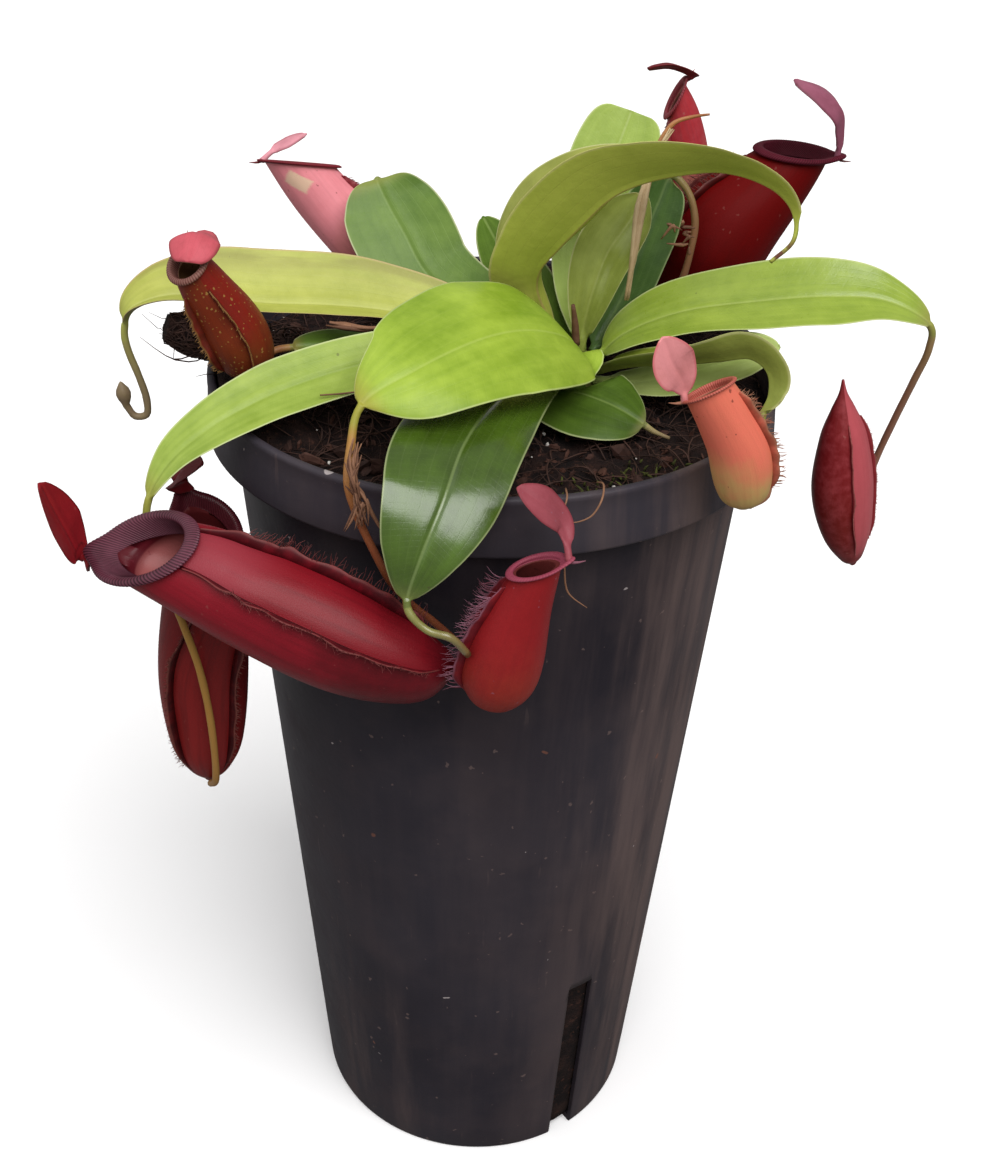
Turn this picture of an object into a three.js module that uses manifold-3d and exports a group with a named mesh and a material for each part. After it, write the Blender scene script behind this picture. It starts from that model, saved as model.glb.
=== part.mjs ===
import * as THREE from 'three';
import { mergeVertices } from 'three/addons/utils/BufferGeometryUtils.js';
import Module from 'manifold-3d';

// A tropical pitcher plant in a tall nursery pot. Millimetres, +Z up, the origin at the
// middle of the pot's base, +X to the right and -Y towards the viewer.

const wasm = await Module();
wasm.setup();

// Driving dimensions: the pot, and the room that separate pieces leave each other.
const gap = 0.3;
const potHeight = 260;
const rimRadius = 75;
const collarRadius = 76.4;
const collarHeight = 15.5;
const shoulderRadius = 69.7;
const baseRadius = 51;
const potWall = 1.6;
const potFloor = 2.4;
const potSides = 24;
const slot = { width: 8.5, height: 75, reach: 9, bearings: [-53, 127] };

// The mix, the stem and the fibre chunk.
const soil = { level: 253, rings: 8, crumb: 1.3, seed: 7 };
const stem = { foot: [23, -2, 236], top: [23, -2, 264], radius: 4, hole: 4.5 };
const fibreChunk = { axis: [[-57, -7, 262], [-70, -10, 268], [-84, -14, 273]], radius: 5.6 };

// Leaf skin: thickness at the rib and at the edge, and how finely it is divided.
const ribThickness = 1.3;
const edgeThickness = 0.8;
const bladeSteps = 10;
const bladeColumns = 5;
const stalkRadius = 1.3;
const tendrilRadius = 1;
const tendrilStep = 6;

const colours = {
  plastic: 0x2c2a30,
  mix: 0x2a1c17,
  stem: 0x7d8a35,
  lime: 0x8fb02c,
  green: 0x4b8a2e,
  olive: 0x97a13a,
  crimson: 0x8c1620,
  maroon: 0x5a0f1c,
  coral: 0xd06a4c,
  rose: 0xc8505a,
  bronze: 0x6e2a1c
};

// Each leaf: the rib from the stalk to the tip, the way its upper face looks along that rib,
// the half widths on its two sides, how sharply it narrows at the base and at the tip, the
// bend of its cross-section (plus is a trough, minus an arch) and the fold along the rib.
// A tendril goes on from the tip.
const leaves = {
  leaf_front_left: {
    colour: 'lime',
    root: [-90, 262.7],
    rib: [[20, -14, 272], [10, -26, 280], [-2, -40, 284], [-18, -57, 283], [-30, -64, 277]],
    face: [[-0.2, -0.5, 0.8], [-0.1, -0.6, 0.8], [-0.2, -0.6, 0.75]],
    halfWidths: [19, 22], base: 0.65, tip: 0.75, bend: -0.35, fold: 0.08,
    tendril: [
      [-32, -69, 269.5], [-32.5, -74, 263], [-30.5, -76, 256], [-26.5, -77, 246.5],
      [-22.5, -76, 237], [-18, -73.5, 229.5], [-12, -71.5, 222.5], [-5, -74, 216.5], [-6.2, -81.5, 217.5]
    ]
  },
  leaf_front_hanging: {
    colour: 'green',
    root: [-114, 259.2],
    rib: [
      [9, -26, 266], [1, -48, 270], [-5, -68, 269], [-9, -83, 263], [-14, -90, 253],
      [-18, -92, 242]
    ],
    face: [[0, -0.2, 1], [0, -0.3, 1], [0.05, -0.9, 0.4], [0, -1, 0.2]],
    halfWidths: [15.5, 15.5], base: 0.9, tip: 0.8, bend: -0.25, fold: 0.14,
    tendril: [[-17, -93, 239.5], [-13, -94, 236], [-8, -95, 235], [-3.9, -92.7, 228.8]]
  },
  leaf_small_front: {
    colour: 'green',
    root: [-82, 256],
    rib: [[22, -16, 259], [26, -27, 261.5], [32, -32, 260.5], [38, -32, 258]],
    face: [[0.2, -0.2, 1], [0.1, -0.5, 0.85], [0.2, -0.5, 0.8]],
    halfWidths: [13, 12], base: 0.6, tip: 0.45, bend: -0.2, fold: 0.05,
    tendril: [[41, -32.5, 256.5], [45, -34, 255.5]]
  },
  leaf_right_long: {
    colour: 'lime',
    root: [-8, 263],
    rib: [
      [34, -4, 270], [48, -5, 277], [68, -8, 282], [85, -11, 285], [99, -13, 285],
      [111, -14, 279]
    ],
    face: [[-0.4, -0.3, 0.8], [-0.2, -0.35, 0.9], [0.1, -0.5, 0.85], [0.5, -0.4, 0.8]],
    halfWidths: [11.5, 11.5], base: 0.8, tip: 0.7, bend: 0.25, fold: 0.1,
    tendril: [
      [112, -13, 272.5], [110.5, -10, 262], [108.5, -6, 249], [106, -3.3, 235], [103.5, -4, 222],
      [102.5, -7, 212], [101.6, -12, 207.6]
    ]
  },
  leaf_right_curved: {
    colour: 'olive',
    root: [-40, 260],
    rib: [
      [35, -13, 266], [46, -24, 272], [56, -31, 276.5], [63, -35, 279], [67, -39, 277],
      [67.5, -42, 272], [65.5, -45, 268]
    ],
    face: [[-0.4, 0.2, 0.8], [-0.3, 0.5, 0.8], [0.5, 0.5, 0.7], [0.9, 0.2, 0.2]],
    halfWidths: [8, 8], base: 0.6, tip: 0.6, bend: 0.5, fold: 0.2,
    tendril: [[65, -49, 263.5], [66.5, -55, 259], [66, -60, 254.5], [61.5, -63.7, 253.7]]
  },
  leaf_over_arching: {
    colour: 'olive',
    root: [200, 263.4],
    rib: [
      [14.5, 1, 271], [10.5, 1, 280], [11, -2, 287], [15, -5, 293.5], [21, -9, 302],
      [28, -12, 310.5], [35, -13, 314.5], [45, -13, 317], [53.5, -12, 317.5], [61.5, -12, 316],
      [69, -13, 312.5], [73, -14, 307.5], [73, -16, 301.5], [67.5, -19, 297]
    ],
    face: [
      [-0.3, 0.8, 0.2], [-0.7, 0.6, 0.4], [-0.4, 0.8, 0.5], [-0.1, 0.5, 0.8], [0.1, 0.3, 0.9],
      [0.6, 0.3, 0.5], [0.9, 0.2, 0.2]
    ],
    halfWidths: [6.5, 15], base: 1.15, tip: 2, bend: 0.3, fold: 0.3
  },
  leaf_back_arching: {
    colour: 'lime',
    root: [135, 263],
    rib: [[9, 12, 274], [6, 19, 286], [13, 24, 297], [27, 26, 304], [44, 26, 307]],
    face: [[-0.6, 0.6, 0.5], [-0.8, -0.2, 0.5], [-0.5, -0.4, 0.8], [0, -0.4, 0.9]],
    halfWidths: [10, 10], base: 0.7, tip: 0.6, bend: 0.2, fold: 0.1,
    tendril: [[47, 31, 305], [45.5, 38, 300], [46.5, 43, 292], [49, 46, 286], [51.6, 48, 283.9]]
  },
  leaf_back_round: {
    colour: 'lime',
    root: [82, 262.5],
    rib: [[24, 24, 275], [29, 40, 293], [36.5, 50, 313]],
    face: [[0, -0.4, 1], [-0.1, -0.8, 0.6], [-0.1, -0.9, 0.4]],
    halfWidths: [12, 12], base: 0.7, tip: 0.22, bend: 0.2, fold: 0.1
  },
  leaf_back_left: {
    colour: 'green',
    root: [122, 259],
    rib: [
      [4, 14, 264], [-7, 22, 266], [-19, 30, 271.5], [-26, 38, 280.5], [-31, 44, 287],
      [-34, 48, 292]
    ],
    face: [[-0.3, -0.5, 0.8], [-0.1, -0.6, 0.7], [0, -0.8, 0.6]],
    halfWidths: [15, 14], base: 0.7, tip: 0.4, bend: 0.2, fold: 0.05,
    tendril: [[-33, 53, 289], [-31, 53, 282], [-27, 48, 274], [-24, 48, 264], [-28.7, 52.4, 257.2]]
  },
  leaf_back_narrow: {
    colour: 'lime',
    root: [100, 256.5],
    rib: [[12, 24, 267], [4, 38, 272], [-4, 54, 280]],
    face: [[0, -0.4, 1], [-0.1, -0.7, 0.7], [0, -0.8, 0.6]],
    halfWidths: [8, 8], base: 0.7, tip: 0.6, bend: 0.3, fold: 0.1
  },
  leaf_left_yellow: {
    colour: 'lime',
    root: [168, 260.5],
    rib: [
      [-4, -1, 269], [-28, -2, 274], [-43, -4, 276], [-60, -6, 277], [-74, -8, 279.5],
      [-86, -10, 279.5], [-93.5, -11, 276], [-95.5, -11, 270]
    ],
    face: [[0, -0.3, 1], [0.1, -0.3, 1], [-0.2, -0.3, 1], [-0.9, -0.2, 0.3]],
    halfWidths: [9, 14], base: 0.85, tip: 1.1, bend: 0.3, fold: 0.35,
    tendril: [
      [-95, -11, 265], [-93, -11, 258], [-91.5, -11, 251], [-92, -11, 246.5], [-95, -11, 246],
      [-97, -11, 249]
    ],
    bud: { end: [-98, -11, 256], radius: 2 }
  },
  leaf_left_low: {
    colour: 'lime',
    root: [208, 259],
    rib: [
      [-3, -13, 266.5], [-19, -20, 270], [-33, -27, 270], [-49, -36, 268], [-58, -42, 266],
      [-68, -48, 262], [-77, -54, 256], [-82.5, -58, 247]
    ],
    face: [[0.1, -0.6, 0.8], [0, -0.6, 0.8], [-0.3, -0.6, 0.7], [-0.6, -0.5, 0.5]],
    halfWidths: [8.5, 8.5], base: 0.6, tip: 0.6, bend: 0.2, fold: 0.12,
    tendril: [
      [-83, -58.5, 238], [-80, -60.5, 227], [-76, -62, 214], [-73, -62.5, 201.5], [-71.5, -62.5, 189],
      [-71, -62, 175], [-72, -59, 161], [-74.5, -53.6, 155.5]
    ]
  },
  leaf_left_small: {
    colour: 'green',
    root: [186, 256.3],
    rib: [[-4, -6, 260.5], [-24, -8, 264], [-40, -10, 267], [-52, -13, 268]],
    face: [[0.1, -0.3, 1], [0, -0.4, 0.9], [-0.1, -0.5, 0.8]],
    halfWidths: [7, 7], base: 0.7, tip: 0.5, bend: -0.2, fold: 0.05,
    tendril: [[-56, -15, 268], [-60.6, -19.3, 266.6]]
  },
  leaf_young_rolled: {
    colour: 'olive',
    rib: [[23, -2, 264.45], [25, -1, 278], [29, 2, 290], [35, 5, 299], [38, 7, 305]],
    face: [[-0.2, -0.9, 0.2], [-0.3, -0.9, 0.3], [-0.4, -0.8, 0.4]],
    halfWidths: [9, 9], base: 1, tip: 0.8, bend: 0.9, fold: 0.2,
    tendril: [[40, 10, 314], [44, 12, 321], [49, 12, 323], [53, 11, 324]]
  },
  leaf_behind_rolled: {
    colour: 'green',
    root: [45, 262.5],
    rib: [[34, 8.5, 275], [38.5, 13, 288], [42.5, 16, 299], [45.5, 16.5, 306]],
    face: [[-0.3, -0.7, 0.6], [-0.3, -0.8, 0.5], [-0.3, -0.8, 0.4]],
    halfWidths: [9, 9], base: 0.6, tip: 0.5, bend: 0.3, fold: 0.1,
    tendril: [
      [49.5, 15, 303], [52, 12, 296], [51, 9, 287], [49, 8, 278], [48, 11, 269],
      [48.8, 18.7, 264]
    ]
  },
  leaf_right_low: {
    colour: 'lime',
    root: [-20, 256.5],
    rib: [[41, -13, 261], [53, -18, 267], [65, -21, 273], [72, -22, 276]],
    face: [[0, -0.4, 1], [-0.1, -0.6, 0.8], [-0.1, -0.6, 0.8]],
    halfWidths: [7, 7], base: 0.7, tip: 0.6, bend: 0.2, fold: 0.1
  }
};

// Each pitcher: the axis from its foot to its mouth, the way its front (the side with the two
// wings) looks, the girth as [share of the axis, radius] from foot to mouth, how far the back
// of the mouth stands above the front, the thickness of the rolled lip, and the lid's own
// rib, which grows from a neck at the back of the lip.
const pitchers = {
  pitcher_large: {
    colour: 'crimson', sides: 30, wall: 1.2,
    axis: [
      [-7.5, -83, 219], [-15.5, -83.5, 219], [-25, -83.5, 222], [-39, -82, 228], [-55.5, -80, 235.5],
      [-69.5, -77.5, 241.5], [-80, -76, 245]
    ],
    front: [0.2, -0.5, 0.85], flat: 1,
    girth: [[0, 1.6], [0.03, 5], [0.12, 9.6], [0.34, 13], [0.58, 13], [0.82, 11.4], [1, 8.6]],
    slant: 1.1, lip: 1.4, ribs: 0.16,
    lid: {
      rib: [[-97.5, -68, 237], [-101, -68, 245], [-105.5, -67, 256.5]],
      face: [0.95, -0.05, 0.25], halfWidth: 8.5
    },
    wings: { spread: 34, from: 0.06, to: 0.9, height: 2.2 }
  },
  pitcher_front: {
    colour: 'crimson', sides: 22, wall: 1.1,
    axis: [[1.5, -86, 211], [3.5, -87, 220.5], [5.5, -88, 230], [8, -89, 241], [11, -90, 251.5]],
    front: [-0.95, 0.25, 0.2], flat: 1,
    girth: [[0, 3], [0.05, 6.4], [0.2, 9.2], [0.42, 9.2], [0.72, 6.9], [1, 4.8]],
    slant: 0.75, lip: 0.9, ribs: 0.08,
    lid: {
      rib: [[16.5, -86, 260], [12, -88, 266], [6, -88, 270.5]],
      face: [0.5, -0.5, 0.7], halfWidth: 4.6
    },
    wings: { spread: 30, from: 0.1, to: 0.92, height: 2 }
  },
  pitcher_left_hanging: {
    colour: 'crimson', sides: 18, wall: 1.1,
    axis: [
      [-75, -50.3, 155.5], [-75.4, -49.3, 168], [-75.2, -48.3, 185], [-73.8, -47.8, 203],
      [-72.4, -47.8, 219], [-71, -47.8, 234]
    ],
    front: [0.25, -1, 0.2], flat: 0.9,
    girth: [[0, 2], [0.05, 6], [0.16, 9.8], [0.4, 11.8], [0.7, 11], [1, 8]],
    slant: 0.6, lip: 1.2, ribs: 0.08,
    lid: {
      rib: [[-77, -40.5, 242.5], [-77, -42.5, 247], [-71, -45, 251]],
      face: [-0.2, -0.4, 0.9], halfWidth: 5.5
    },
    wings: { spread: 40, from: 0.1, to: 0.92, height: 2 }
  },
  pitcher_left_bronze: {
    colour: 'bronze', sides: 16, wall: 1,
    axis: [
      [-61, -25, 267.5], [-62.5, -26, 274], [-66, -27, 282], [-70, -29, 290], [-73.5, -31, 297.5]
    ],
    front: [-0.3, -0.9, 0.3], flat: 1,
    girth: [[0, 5], [0.1, 7], [0.35, 8], [0.7, 6.4], [1, 4.6]],
    slant: 0.3, lip: 0.9, ribs: 0.05,
    lid: {
      rib: [[-72.5, -25.5, 304], [-72, -30, 306.5], [-72, -38.5, 304.5]],
      face: [0, -0.3, 1], halfWidth: 6.8
    },
    wings: { spread: 36, from: 0.1, to: 0.85, height: 1.6 }
  },
  pitcher_back_rose: {
    colour: 'rose', sides: 16, wall: 1,
    axis: [[-30.5, 53, 258], [-35, 55, 266], [-42, 56, 274.5], [-49.5, 57.5, 283], [-57, 58, 293]],
    front: [0.8, 0.45, 0.6], flat: 1,
    girth: [[0, 2.5], [0.1, 7], [0.4, 9], [0.75, 8.8], [1, 7.6]],
    slant: 0.9, lip: 1, ribs: 0.05,
    lid: {
      rib: [[-65.5, 58, 298.5], [-61, 57.5, 302], [-55, 57, 304]],
      face: [-0.5, 0.6, 0.6], halfWidth: 3
    },
    wings: { spread: 30, from: 0.2, to: 0.92, height: 2 }
  },
  pitcher_right_coral: {
    colour: 'coral', sides: 16, wall: 1,
    axis: [[60, -64, 255], [59, -65, 261.5], [57, -66, 270], [53, -67, 278], [48.5, -68, 285.5]],
    front: [0.8, 0.2, 0.6], flat: 1,
    girth: [[0, 3], [0.1, 6], [0.35, 7.2], [0.7, 6.5], [1, 5.6]],
    slant: 0.7, lip: 0.9, ribs: 0.05,
    lid: {
      rib: [[42.5, -71, 289], [39, -72.5, 294.5], [36.5, -72.5, 300]],
      face: [0.3, -0.8, 0.3], halfWidth: 5.5
    },
    wings: { spread: 30, from: 0.15, to: 0.9, height: 1.6 }
  },
  pitcher_right_unopened: {
    colour: 'crimson', sides: 16, closed: true,
    axis: [
      [101.5, -14, 208.5], [98.5, -14, 218.5], [95.5, -14, 231], [93.5, -14, 246], [91, -14, 263.5]
    ],
    front: [0.2, -0.9, 0], flat: 0.8,
    girth: [[0, 1.5], [0.04, 4], [0.2, 8], [0.45, 10.2], [0.7, 7.6], [0.88, 3.4], [1, 0.7]],
    slant: 0, wings: { spread: 35, from: 0.1, to: 0.9, height: 1.4 }
  },
  pitcher_right_dark: {
    colour: 'maroon', sides: 24, wall: 1.2,
    axis: [[49, 22, 265], [54, 24, 275], [61, 27, 286.5], [71, 30, 299], [79.5, 31.5, 308.5]],
    front: [-0.7, 0.2, 0.7], flat: 0.95,
    girth: [[0, 2.5], [0.08, 8.5], [0.35, 15], [0.65, 13.5], [1, 7.8]],
    slant: 0.7, lip: 1.2, ribs: 0.12,
    lid: {
      rib: [[90.5, 30, 314.5], [89.5, 29.5, 320], [84, 29, 325], [76.5, 30, 328]],
      face: [-0.7, 0.3, -0.6], halfWidth: 5
    },
    wings: { spread: 30, from: 0.15, to: 0.9, height: 2 }
  },
  pitcher_top_red: {
    colour: 'crimson', sides: 14, wall: 1,
    axis: [[54, 48, 285], [54, 48.5, 292], [53, 48.5, 301], [50.5, 48.5, 310.5], [48, 48, 317.5]],
    front: [-1, -0.1, 0], flat: 1,
    girth: [[0, 1.5], [0.1, 4], [0.35, 5.6], [0.7, 5.4], [1, 3.4]],
    slant: 1, lip: 0.8, ribs: 0.04,
    lid: {
      rib: [[52, 47, 324], [46, 46, 326.5], [39.5, 45, 326]],
      face: [0.2, 0.2, 0.9], halfWidth: 3
    },
    wings: { spread: 30, from: 0.15, to: 0.9, height: 1.2 }
  }
};

const vec = (p) => new THREE.Vector3(p[0], p[1], p[2]);
const radians = THREE.MathUtils.degToRad;
const smooth = THREE.MathUtils.smoothstep;

// Seeded numbers from 0 to 1, for the crumbs of the mix.
function numbers(seed) {
  let state = seed;
  return () => {
    state = (state * 16807) % 2147483647;
    return state / 2147483647;
  };
}

// The part across a direction of a vector, at unit length.
function across(vector, direction) {
  return vector.clone().addScaledVector(direction, -vector.dot(direction)).normalize();
}

// A value between the entries of a list of vectors.
function blend(list, share) {
  const place = THREE.MathUtils.clamp(share, 0, 1) * (list.length - 1);
  const low = Math.min(Math.floor(place), list.length - 2);
  return vec(list[low]).lerp(vec(list[low + 1]), place - low).normalize();
}

// A closed skin over rings of points. The quads of a thin blade's two faces are split alike.
function skin(rings, isBlade) {
  const count = rings[0].length;
  const positions = rings.flat().flatMap((p) => [p.x, p.y, p.z]);
  const faces = [];
  const quad = (a, b, c, d, other) => {
    if (other) faces.push(a, b, d, b, c, d);
    else faces.push(a, b, c, a, c, d);
  };
  for (let i = 0; i < rings.length - 1; i += 1) {
    for (let j = 0; j < count; j += 1) {
      const next = (j + 1) % count;
      const under = isBlade && j >= count / 2;
      quad(i * count + j, i * count + next, (i + 1) * count + next, (i + 1) * count + j, under);
    }
  }
  for (const [ring, turned] of [[0, true], [rings.length - 1, false]]) {
    const first = ring * count;
    for (let j = 0; j < count / 2 - 1; j += 1) {
      const ends = [first + j, first + j + 1, first + count - 2 - j, first + count - 1 - j];
      if (turned) ends.reverse();
      quad(...ends, false);
    }
  }
  const geometry = new THREE.BufferGeometry();
  geometry.setAttribute('position', new THREE.Float32BufferAttribute(positions, 3));
  geometry.setIndex(faces);
  return outward(geometry);
}

// Turns a closed skin's faces outwards.
function outward(geometry) {
  const point = geometry.attributes.position;
  const index = geometry.index.array;
  const [a, b, c] = [new THREE.Vector3(), new THREE.Vector3(), new THREE.Vector3()];
  let volume = 0;
  for (let i = 0; i < index.length; i += 3) {
    a.fromBufferAttribute(point, index[i]);
    b.fromBufferAttribute(point, index[i + 1]);
    c.fromBufferAttribute(point, index[i + 2]);
    volume += a.dot(b.cross(c));
  }
  if (volume < 0) {
    for (let i = 0; i < index.length; i += 3) {
      [index[i], index[i + 1]] = [index[i + 1], index[i]];
    }
  }
  return geometry;
}

// Between a three.js geometry and a solid that can be joined and cut.
function toSolid(geometry) {
  const bare = geometry.clone();
  bare.deleteAttribute('normal');
  bare.deleteAttribute('uv');
  const merged = mergeVertices(bare, 1e-4);
  return new wasm.Manifold(new wasm.Mesh({
    numProp: 3,
    vertProperties: new Float32Array(merged.attributes.position.array),
    triVerts: new Uint32Array(merged.index.array)
  }));
}

function fromSolid(solid) {
  const mesh = solid.getMesh();
  const geometry = new THREE.BufferGeometry();
  geometry.setAttribute('position', new THREE.BufferAttribute(mesh.vertProperties, 3));
  geometry.setIndex(new THREE.BufferAttribute(mesh.triVerts, 1));
  return geometry;
}

function place(name, geometry, colour, roughness) {
  const shaded = geometry.index ? geometry.toNonIndexed() : geometry;
  shaded.computeVertexNormals();
  const mesh = new THREE.Mesh(shaded, new THREE.MeshStandardMaterial({
    color: colours[colour], roughness, metalness: 0
  }));
  mesh.name = name;
  plant.add(mesh);
}

// The share of the half width at a share of the blade's length.
function bladeOutline(share, base, tip) {
  const widest = base / (base + tip);
  return (share / widest) ** base * ((1 - share) / (1 - widest)) ** tip;
}

// One ring of a leaf: a round stalk or tendril where it is narrow, a thin blade where it is wide.
function leafRing(centre, side, up, radius, widths, leaf) {
  const width = (widths[0] + widths[1]) / 2;
  const flatness = smooth(width / radius, 1.2, 2.6);
  const half = bladeColumns - 1;
  const ring = [];
  for (let j = 0; j < bladeColumns * 2; j += 1) {
    const isTop = j < bladeColumns;
    const v = isTop ? -1 + (2 * j) / half : 1 - (2 * (j - bladeColumns)) / half;
    const reach = Math.max(v < 0 ? widths[0] : widths[1], radius);
    const angle = (leaf.bend || 1e-3) * v;
    const thickness = THREE.MathUtils.lerp(ribThickness, edgeThickness, Math.abs(v)) / 2;
    const bladeX = reach * Math.sin(angle) / (leaf.bend || 1e-3);
    const lift = reach * (1 - Math.cos(angle)) / (leaf.bend || 1e-3) + Math.abs(v) * reach * leaf.fold;
    const bladeZ = lift * flatness + (isTop ? thickness : -thickness);
    const turn = Math.PI * (0.9 - j / bladeColumns);
    const x = THREE.MathUtils.lerp(radius * Math.cos(turn), bladeX, flatness);
    const z = THREE.MathUtils.lerp(radius * Math.sin(turn), bladeZ, flatness);
    ring.push(centre.clone().addScaledVector(side, x).addScaledVector(up, z));
  }
  return ring;
}

// Where a leaf's stalk starts: at a bearing and a height on the stem, its end a gap away.
function rootPoint([bearing, height], next) {
  const middle = new THREE.Vector3(stem.top[0], stem.top[1], height);
  const out = new THREE.Vector3(Math.cos(radians(bearing)), Math.sin(radians(bearing)), 0);
  const rise = Math.abs(vec(next).sub(middle).normalize().z);
  return middle.addScaledVector(out, stem.radius + gap + stalkRadius * rise).toArray();
}

// A leaf grown as one piece: stalk, blade, and the tendril where it has one.
function leafGeometry(leaf) {
  const rib = leaf.root ? [rootPoint(leaf.root, leaf.rib[0]), ...leaf.rib] : leaf.rib;
  const route = [...rib, ...(leaf.tendril || [])];
  const curve = new THREE.CatmullRomCurve3(route.map(vec));
  const bladeEnd = (rib.length - 1) / (route.length - 1);
  const rings = [];
  let up = null;
  const addRing = (t, radius, widths, faceAt) => {
    const tangent = curve.getTangent(t);
    up = across(faceAt || up, tangent);
    const side = new THREE.Vector3().crossVectors(tangent, up);
    rings.push(leafRing(curve.getPoint(t), side, up, radius, widths, leaf));
  };
  for (let i = 0; i <= bladeSteps; i += 1) {
    const share = i / bladeSteps;
    const outline = bladeOutline(share, leaf.base, leaf.tip);
    const radius = THREE.MathUtils.lerp(stalkRadius, tendrilRadius, share);
    const widths = leaf.halfWidths.map((w) => Math.max(w * outline, radius));
    addRing(share * bladeEnd, radius, widths, blend(leaf.face, share));
  }
  if (leaf.tendril) {
    const tendril = new THREE.CatmullRomCurve3([...rib.slice(-1), ...leaf.tendril].map(vec));
    const steps = Math.max(3, Math.round(tendril.getLength() / tendrilStep));
    for (let i = 1; i <= steps; i += 1) {
      const t = bladeEnd + (1 - bladeEnd) * i / steps;
      addRing(t, tendrilRadius, [0, 0], null);
    }
  }
  if (leaf.bud) addBud(rings, leaf.bud, vec(route.at(-1)), up);
  return skin(rings, true);
}

// A young pitcher at the end of a tendril: a small pointed spindle.
function addBud(rings, bud, start, up) {
  const end = vec(bud.end);
  const direction = end.clone().sub(start).normalize();
  const front = across(up, direction);
  const side = new THREE.Vector3().crossVectors(direction, front);
  const none = { bend: 0, fold: 0 };
  for (const [share, size] of [[0.25, 0.8], [0.5, 1], [0.78, 0.6], [1, 0.2]]) {
    const centre = start.clone().lerp(end, share);
    rings.push(leafRing(centre, side, front, bud.radius * size, [0, 0], none));
  }
}

// The bearings of a pitcher's ring, from its front round to its front again, with three close
// together at each wing.
function bearings(pitcher) {
  const spread = radians(pitcher.wings.spread);
  const near = radians(360 / pitcher.sides) * 0.62;
  const edge = radians(3.2);
  const list = [];
  for (let j = 0; j < pitcher.sides; j += 1) {
    const angle = (j / pitcher.sides) * Math.PI * 2 - Math.PI;
    if (Math.abs(Math.abs(angle) - spread) > near) list.push({ angle, wing: 0 });
  }
  for (const sign of [-1, 1]) {
    list.push({ angle: sign * spread - edge, wing: 0 });
    list.push({ angle: sign * spread, wing: 1 });
    list.push({ angle: sign * spread + edge, wing: 0 });
  }
  return list.sort((p, q) => p.angle - q.angle);
}

// The frame of a pitcher at a share of its axis: centre, tangent, front and side.
function pitcherFrame(pitcher, curve, share) {
  const tangent = curve.getTangentAt(share);
  const front = across(vec(pitcher.front), tangent);
  const side = new THREE.Vector3().crossVectors(tangent, front);
  return { centre: curve.getPointAt(share), tangent, front, side };
}

// A pitcher grown as one piece: cup, rolled lip, wings and lid.
function pitcherGeometry(pitcher) {
  const curve = new THREE.CatmullRomCurve3(pitcher.axis.map(vec));
  const girth = new THREE.SplineCurve(pitcher.girth.map((p) => new THREE.Vector2(p[0], p[1])));
  const spots = bearings(pitcher);
  const slantAt = (share) => pitcher.slant * smooth(share, 0.5, 1);
  const ringAt = (share, radiusOf, rise) => {
    const near = THREE.MathUtils.clamp(share, 0, 1);
    const { centre, tangent, front, side } = pitcherFrame(pitcher, curve, near);
    return spots.map((spot, k) => {
      const radius = radiusOf(spot, k);
      const forward = Math.cos(spot.angle) * radius * pitcher.flat;
      const sideways = Math.sin(spot.angle) * radius;
      const along = (rise || 0) - slantAt(share) * forward;
      return centre.clone().addScaledVector(front, forward)
        .addScaledVector(side, sideways).addScaledVector(tangent, along);
    });
  };
  const rings = [];
  const outerShares = pitcher.closed
    ? [0, 0.04, 0.1, 0.2, 0.35, 0.5, 0.65, 0.8, 0.92, 1]
    : [0, 0.05, 0.12, 0.24, 0.38, 0.52, 0.66, 0.8, 0.92];
  for (const t of outerShares) {
    const { x: share, y: size } = girth.getPoint(t);
    const { from, to, height } = pitcher.wings;
    const wing = height * smooth(share, from, from + 0.12) * (1 - smooth(share, to - 0.06, to));
    rings.push(ringAt(share, (spot) => size + spot.wing * wing));
  }
  if (pitcher.closed) return poles(rings);
  const mouth = pitcher.girth.at(-1)[1];
  const lip = pitcher.lip;
  for (const bearing of [-70, -15, 40, 95, 150]) {
    const outwards = lip * (0.75 + Math.cos(radians(bearing)));
    const upwards = lip * Math.sin(radians(bearing));
    const ribbed = (spot, k) => mouth + outwards + (k % 2 ? pitcher.ribs : -pitcher.ribs);
    rings.push(ringAt(1, ribbed, upwards));
  }
  for (const t of [0.94, 0.8, 0.6, 0.4, 0.22]) {
    const { x: share, y: size } = girth.getPoint(t);
    rings.push(ringAt(share, () => size - pitcher.wall));
  }
  const cup = toSolid(poles(rings));
  const { centre, tangent, front } = pitcherFrame(pitcher, curve, 1);
  const back = mouth + lip * 0.5;
  const neck = centre.clone().addScaledVector(front, -back * pitcher.flat)
    .addScaledVector(tangent, pitcher.slant * back * pitcher.flat);
  return fromSolid(cup.add(toSolid(lidGeometry(pitcher.lid, neck))));
}

// A skin over round rings, with a point in the middle of its first and last ring.
function poles(rings) {
  const count = rings[0].length;
  const middle = (ring) => ring.reduce((sum, p) => sum.add(p), new THREE.Vector3())
    .divideScalar(count);
  const points = [...rings.flat(), middle(rings[0]), middle(rings.at(-1))];
  const faces = [];
  const [foot, top] = [rings.length * count, rings.length * count + 1];
  for (let j = 0; j < count; j += 1) {
    const next = (j + 1) % count;
    for (let i = 0; i < rings.length - 1; i += 1) {
      const [a, b] = [i * count + j, i * count + next];
      faces.push(a, b, b + count, a, b + count, a + count);
    }
    faces.push(foot, next, j);
    faces.push(top, (rings.length - 1) * count + j, (rings.length - 1) * count + next);
  }
  const geometry = new THREE.BufferGeometry();
  const positions = points.flatMap((p) => p.toArray());
  geometry.setAttribute('position', new THREE.Float32BufferAttribute(positions, 3));
  geometry.setIndex(faces);
  return outward(geometry);
}

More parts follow.
